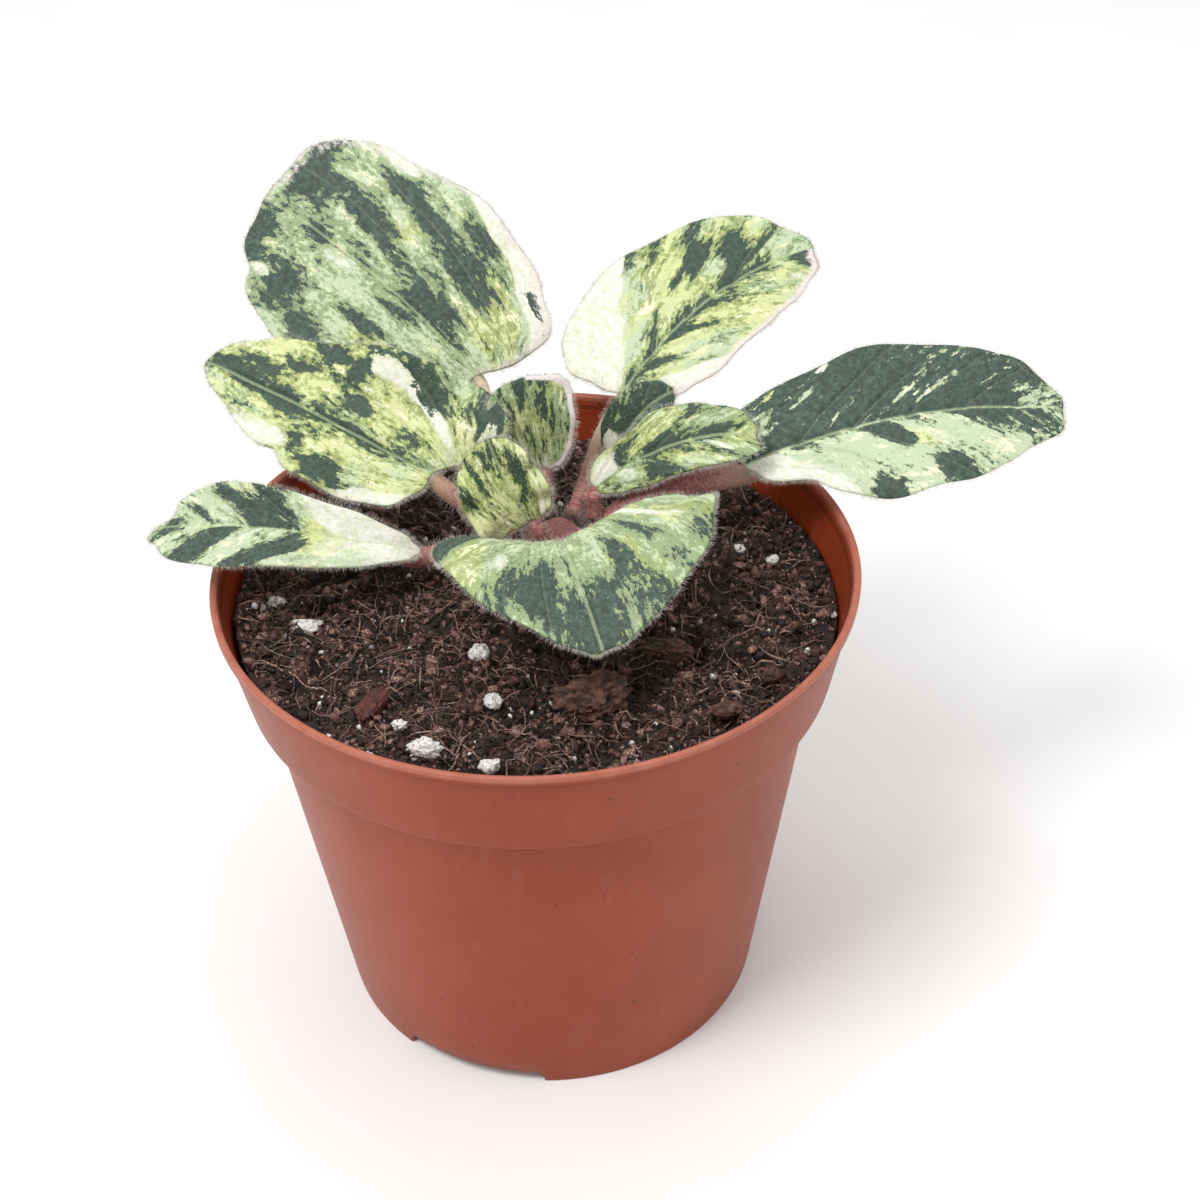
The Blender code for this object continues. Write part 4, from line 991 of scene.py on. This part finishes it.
def patchTone(leaf, x, y, patches):
    # flat-topped spots stretched along the veins, summed
    over, out = veinCoords(leaf, x, y)
    total = np.zeros_like(x)
    for px, py, length, width, strength in patches:
        shrink = max(1.0, math.hypot(px, py) / 0.95)
        po, pl = veinCoords(leaf, np.array([px / shrink]), np.array([py / shrink]))
        side = 1.0
        if leaf["slant"]:
            side = (np.sign(x) == np.sign(px)) | (abs(px) < 0.03)
        away = ((over - po[0]) / width) ** 2 + ((out - pl[0]) / length) ** 2
        total = total + side * strength * np.exp(-away ** 1.3)
    return total


def makeBlade(name, leaf):
    # two skins of a disc grid, joined at the rim, apart by a thickness that rounds off to nothing there
    count = leaf["grid"]
    x, y = discGrid(count)
    middle = bladeSurface(leaf, x, y)
    normal = unit(np.cross(np.gradient(middle, axis=0), np.gradient(middle, axis=1)))
    over, out = veinCoords(leaf, x, y)
    r2 = np.clip(x * x + y * y, 0, 1)
    phase = np.abs((over / bladeLook["veinSpacing"]) % 1.0 - 0.5) * 2
    puff = 1 - smooth(0.72, 1.0, phase)
    share, across, _, _ = bladeCoords(leaf, x, y)
    groove = np.exp(-(across / 0.75) ** 2)
    size = min(1.0, ribLength(leaf) / 30)
    # puffed between the veins, grooved over the midrib, which stands out of the underside
    veins = bladeLook["veinDepth"] * (puff - 0.7) * smooth(1.0, 0.8, np.sqrt(r2))
    relief = size * (veins - bladeLook["ribDepth"] * groove * smooth(1.0, 0.5, y))
    ripple = 0.34 * size * layered(flat3(over * 0.25, out * 0.25, leaf["seed"]), 3, 3)
    thick = bladeLook["thick"] * (0.75 + 0.25 * size) * np.sqrt(np.clip(1 - r2 ** 10, 0, 1)) / 2
    ridge = size * 0.45 * groove * smooth(1.0, 0.3, y) * np.sqrt(1 - r2)
    shift = (relief + ripple)[..., None] * normal
    top = middle + shift + normal * thick[..., None]
    under = middle + shift * 0.8 - normal * (thick + ridge)[..., None]
    # the underside has its own points but shares the rim's
    n = count + 1
    inner = np.ones((n, n), bool)
    inner[[0, -1], :] = False
    inner[:, [0, -1]] = False
    lower = np.arange(n * n).reshape(n, n)
    lower[inner] = n * n + np.arange(inner.sum())
    quads = gridFaces(count)
    faces = np.concatenate([quads, lower.reshape(-1)[quads][:, ::-1]])
    points = np.concatenate([top.reshape(-1, 3), under[inner]])

    def both(*fields):
        # three fields joined into one vector, for the points of the top and then of the underside
        field = np.stack(np.broadcast_arrays(*fields), -1)
        return np.concatenate([field.reshape(-1, 3), field[inner]])

    seed = leaf["seed"] * 3.7 + across * 0.15
    margin = smooth(0.80, 0.99, np.sqrt(r2)) * np.where(x > 0, leaf["margin"][1], leaf["margin"][0])
    dark = leaf["shade"] + patchTone(leaf, x, y, leaf["dark"])
    alongRib = np.exp(-(across / 1.7) ** 2) * smooth(1.0, 0.4, y) * smooth(-1.05, -0.8, y)
    dark = dark + leaf["ribDark"] * alongRib
    lime = leaf["lime"] + patchTone(leaf, x, y, leaf["limeSpots"])
    values = {
        "leafMap": both(across, share * ribLength(leaf), seed), "veinMap": both(over, out, seed),
        "tone": both(dark, patchTone(leaf, x, y, leaf["pale"]), margin),
        "ground": both(lime, leaf["green"], leaf["young"]),
    }
    piece = putMesh(name + "_blade", points, faces, [leafTop, leafUnder], [name], values)
    side = np.zeros(len(faces), dtype=np.int32)
    side[len(quads):] = 1
    piece.data.polygons.foreach_set("material_index", side)
    return top, under, normal


def makeStalk(name, leaf):
    # a round tapering tube from the crown that sinks into the blade's underside as its midrib
    points = [np.array(p, float) for p in leaf["stalk"]]
    share = np.array([0.0, 0.12, 0.26, 0.42, 0.6, 0.78])
    place, ahead = cubic(leaf["rib"], share)
    ahead = unit(ahead)
    face = np.array(leaf["face"][0], float)
    up = unit(face - (ahead @ face)[:, None] * ahead)
    radius = leaf["stalkRadius"]
    narrow = radius * (1 - share / 0.8) ** 0.85
    knots = np.array(points + list(place - up * (narrow + 0.3)[:, None]))
    thick = np.concatenate([[radius * 1.05, radius, radius], narrow])
    travel = np.concatenate([[0], np.cumsum(np.linalg.norm(np.diff(knots, axis=0), axis=1))])
    rows, around = 90, 20
    fine = np.linspace(0, travel[-1], rows)
    curve = np.stack([catmull(travel, knots[:, i], fine) for i in range(3)], -1)
    width = 1 + 0.05 * layered(flat3(fine * 0.5, fine * 0, leaf["seed"]), 4, 2)
    width = width * np.interp(fine, travel, thick)
    mesh, faces = tubes(curve[None], width[None], around)
    length = np.repeat(fine, around)
    angle = np.tile(np.arange(around) / around * 2 * np.pi, rows)
    cream = np.clip(length / travel[-1] * 1.6 + 0.35 - leaf["reddish"], 0, 1)
    values = {"stalkMap": np.stack([length, np.sin(angle) * 2, cream], -1)}
    putMesh(name + "_stalk", mesh, faces, stalkSkin, (), values)
    return mesh.reshape(rows, around, 3), curve


def catmull(knots, values, t):
    # smooth curve through the knots, slope at a knot from its neighbours
    slope = np.gradient(values, knots)
    i = np.clip(np.searchsorted(knots, t, side="right") - 1, 0, len(knots) - 2)
    h = knots[i + 1] - knots[i]
    s = (t - knots[i]) / h
    return ((2 * s ** 3 - 3 * s ** 2 + 1) * values[i] + (s ** 3 - 2 * s ** 2 + s) * h * slope[i]
            + (-2 * s ** 3 + 3 * s ** 2) * values[i + 1] + (s ** 3 - s ** 2) * h * slope[i + 1])


# radius in mm; for each place, its share of the leaf's hairs, then the shortest and longest in mm
hairs = {
    "radius": 0.014, "rim": (0.45, 0.5, 1.05), "top": (0.3, 0.3, 0.6), "under": (0.12, 0.4, 0.8),
    "stalk": (0.25, 0.5, 1.1),
}


def hairMesh(name, roots, ways, lengths):
    # every hair is a closed three-sided spike with one bend, from its root along its way
    count = len(roots)
    ways = unit(ways)
    side = unit(np.cross(ways, rng.normal(size=(count, 3))))
    third = np.cross(ways, side)
    bend = side * (lengths * rng.uniform(0.05, 0.35, count))[:, None]
    angle = np.arange(3) / 3 * 2 * np.pi
    ring = side[:, None] * np.cos(angle)[:, None] + third[:, None] * np.sin(angle)[:, None]
    thick = hairs["radius"] * rng.uniform(0.8, 1.25, count)[:, None, None]
    low = roots[:, None] + ring * thick
    middle = (roots + ways * lengths[:, None] * 0.55 + bend * 0.35)[:, None] + ring * thick * 0.7
    tip = (roots + ways * lengths[:, None] + bend)[:, None]
    points = np.concatenate([low, middle, tip], axis=1).reshape(-1, 3)
    sides = [(2, 1, 0)] + [(i, (i + 1) % 3, 3 + (i + 1) % 3, 3 + i) for i in range(3)]
    sides += [(3 + i, 3 + (i + 1) % 3, 6) for i in range(3)]
    start = np.arange(count) * 7
    faces = [f for shape in sides for f in (start[:, None] + np.array(shape)).tolist()]
    tone = np.zeros((count, 7, 3))
    tone[..., 0] = np.array([0.1, 0.1, 0.1, 0.6, 0.6, 0.6, 1.0])
    tone[..., 1] = rng.random(count)[:, None]
    putMesh(name, points, faces, hairSkin, (), {"hairMap": tone.reshape(-1, 3)})


def growHairs(name, leaf, top, under, normal, stalk, curve):
    # the rim's hairs point out in the blade's plane, the skins' along the normal, the stalk's off its middle
    share, *length = hairs["rim"]
    count = int(leaf["hairs"] * share)
    rim = rimOrder(leaf["grid"])
    edge, edgeNormal = top.reshape(-1, 3)[rim], normal.reshape(-1, 3)[rim]
    outward = unit(np.cross(unit(np.roll(edge, -1, axis=0) - edge), edgeNormal))
    outward = np.where(((edge - edge.mean(axis=0)) * outward).sum(-1, keepdims=True) < 0, -outward, outward)
    pick = rng.integers(0, len(rim), count)
    mix = rng.random(count)[:, None]
    roots = edge[pick] * (1 - mix) + np.roll(edge, -1, axis=0)[pick] * mix
    ways = outward[pick] + rng.normal(0, 0.45, (count, 3)) + edgeNormal[pick] * rng.normal(0, 0.4, (count, 1))
    spots = [(roots, ways, rng.uniform(*length, count))]
    last = leaf["grid"]
    for skin, sign, place in ((top, 1, "top"), (under, -1, "under")):
        share, *length = hairs[place]
        count = int(leaf["hairs"] * share)
        i, j = rng.integers(1, last, count), rng.integers(1, last, count)
        roots = skin[i, j] + (skin[np.minimum(i + 1, last - 1), j] - skin[i, j]) * rng.random((count, 1))
        ways = sign * normal[i, j] + rng.normal(0, 0.35, (count, 3))
        spots.append((roots, ways, rng.uniform(*length, count)))
    share, *length = hairs["stalk"]
    count = int(leaf["hairs"] * share)
    i, j = rng.integers(2, 70, count), rng.integers(0, stalk.shape[1], count)
    ways = unit(stalk[i, j] - curve[i]) + rng.normal(0, 0.3, (count, 3))
    spots.append((stalk[i, j], ways, rng.uniform(*length, count)))
    hairMesh(name + "_hairs", *[np.concatenate(part) for part in zip(*spots)])


def growCrownHairs():
    # long hairs that stand out of the crown and upwards
    count, (x, y) = crown["hairs"], crown["centre"]
    angle, height = rng.random(count) * 2 * np.pi, rng.uniform(*crown["hairBand"], count)
    out = np.stack([np.cos(angle), np.sin(angle)], -1)
    roots = np.concatenate([np.array([x, y]) + 4.6 * out, height[:, None]], -1)
    ways = np.concatenate([out, rng.uniform(0.2, 1.6, (count, 1))], -1) + rng.normal(0, 0.3, (count, 3))
    hairMesh("crown_hairs", roots, ways, rng.uniform(0.7, 1.6, count))


growCrownHairs()
for leafName, leafShape in leaves.items():
    bladeSkins = makeBlade(leafName, leafShape)
    growHairs(leafName, leafShape, *bladeSkins, *makeStalk(leafName, leafShape))
print("leaves made")


# metres and degrees; lamps: place, watts and width; eye: the camera's place from the middle of the pot's foot
studio = {
    "floor": "#fafaf9", "floorGrey": "#f7f7f6", "size": 8.0, "world": 0.66,
    "lamps": {
        "keyLight": ((-0.35, -0.3, 0.8), 4.2, 0.3), "fillLight": ((0.6, -0.2, 0.5), 0.5, 0.5),
        "topLight": ((0.1, 0.3, 0.9), 1.6, 0.6),
    },
    "lens": 59.83, "roll": -1.26, "eye": (0.0, -0.22423, 0.23538), "view": (0.03120, 0.79560, -0.60502),
}


def makeStudio():
    # a pale floor to the horizon, an even white sky, and lamps that point at the plant
    size = studio["size"]
    mesh = bpy.data.meshes.new("studioFloor")
    corners = [(-size, -size, 0), (size, -size, 0), (size, size, 0), (-size, size, 0)]
    mesh.from_pydata(corners, [], [(0, 1, 2, 3)])
    floor = bpy.data.objects.new("studioFloor", mesh)
    bpy.context.scene.collection.objects.link(floor)
    n = Nodes("studioFloor")
    grain = n.noise(n.objectMm(), 0.02, 3.0)
    mesh.materials.append(n.finish(n.mix(n.ramp(grain, 0.3, 0.7), studio["floor"], studio["floorGrey"]), 0.8))
    world = bpy.data.worlds.new("studioWorld")
    world.use_nodes = True
    world.node_tree.nodes["Background"].inputs[0].default_value = (1.0, 1.0, 1.0, 1.0)
    world.node_tree.nodes["Background"].inputs[1].default_value = studio["world"]
    bpy.context.scene.world = world
    for name, (place, watts, width) in studio["lamps"].items():
        lamp = bpy.data.lights.new(name, "AREA")
        lamp.energy = watts
        lamp.size = width
        item = bpy.data.objects.new(name, lamp)
        item.location = place
        item.rotation_euler = (Vector((0, 0, 0.07)) - Vector(place)).to_track_quat("-Z", "Y").to_euler()
        bpy.context.scene.collection.objects.link(item)


def makeCamera():
    # looks along the view direction from the eye, then rolls about it
    camera = bpy.data.cameras.new("camera")
    camera.lens = studio["lens"]
    camera.sensor_width = 36.0
    camera.clip_start = 0.01
    item = bpy.data.objects.new("camera", camera)
    item.location = Vector(potAxis) + Vector(studio["eye"])
    look = Vector(studio["view"]).to_track_quat("-Z", "Y").to_matrix()
    turn = look @ Matrix.Rotation(math.radians(studio["roll"]), 3, "Z")
    item.rotation_euler = turn.to_euler()
    bpy.context.scene.collection.objects.link(item)
    bpy.context.scene.camera = item


makeStudio()
makeCamera()
print("studio made")
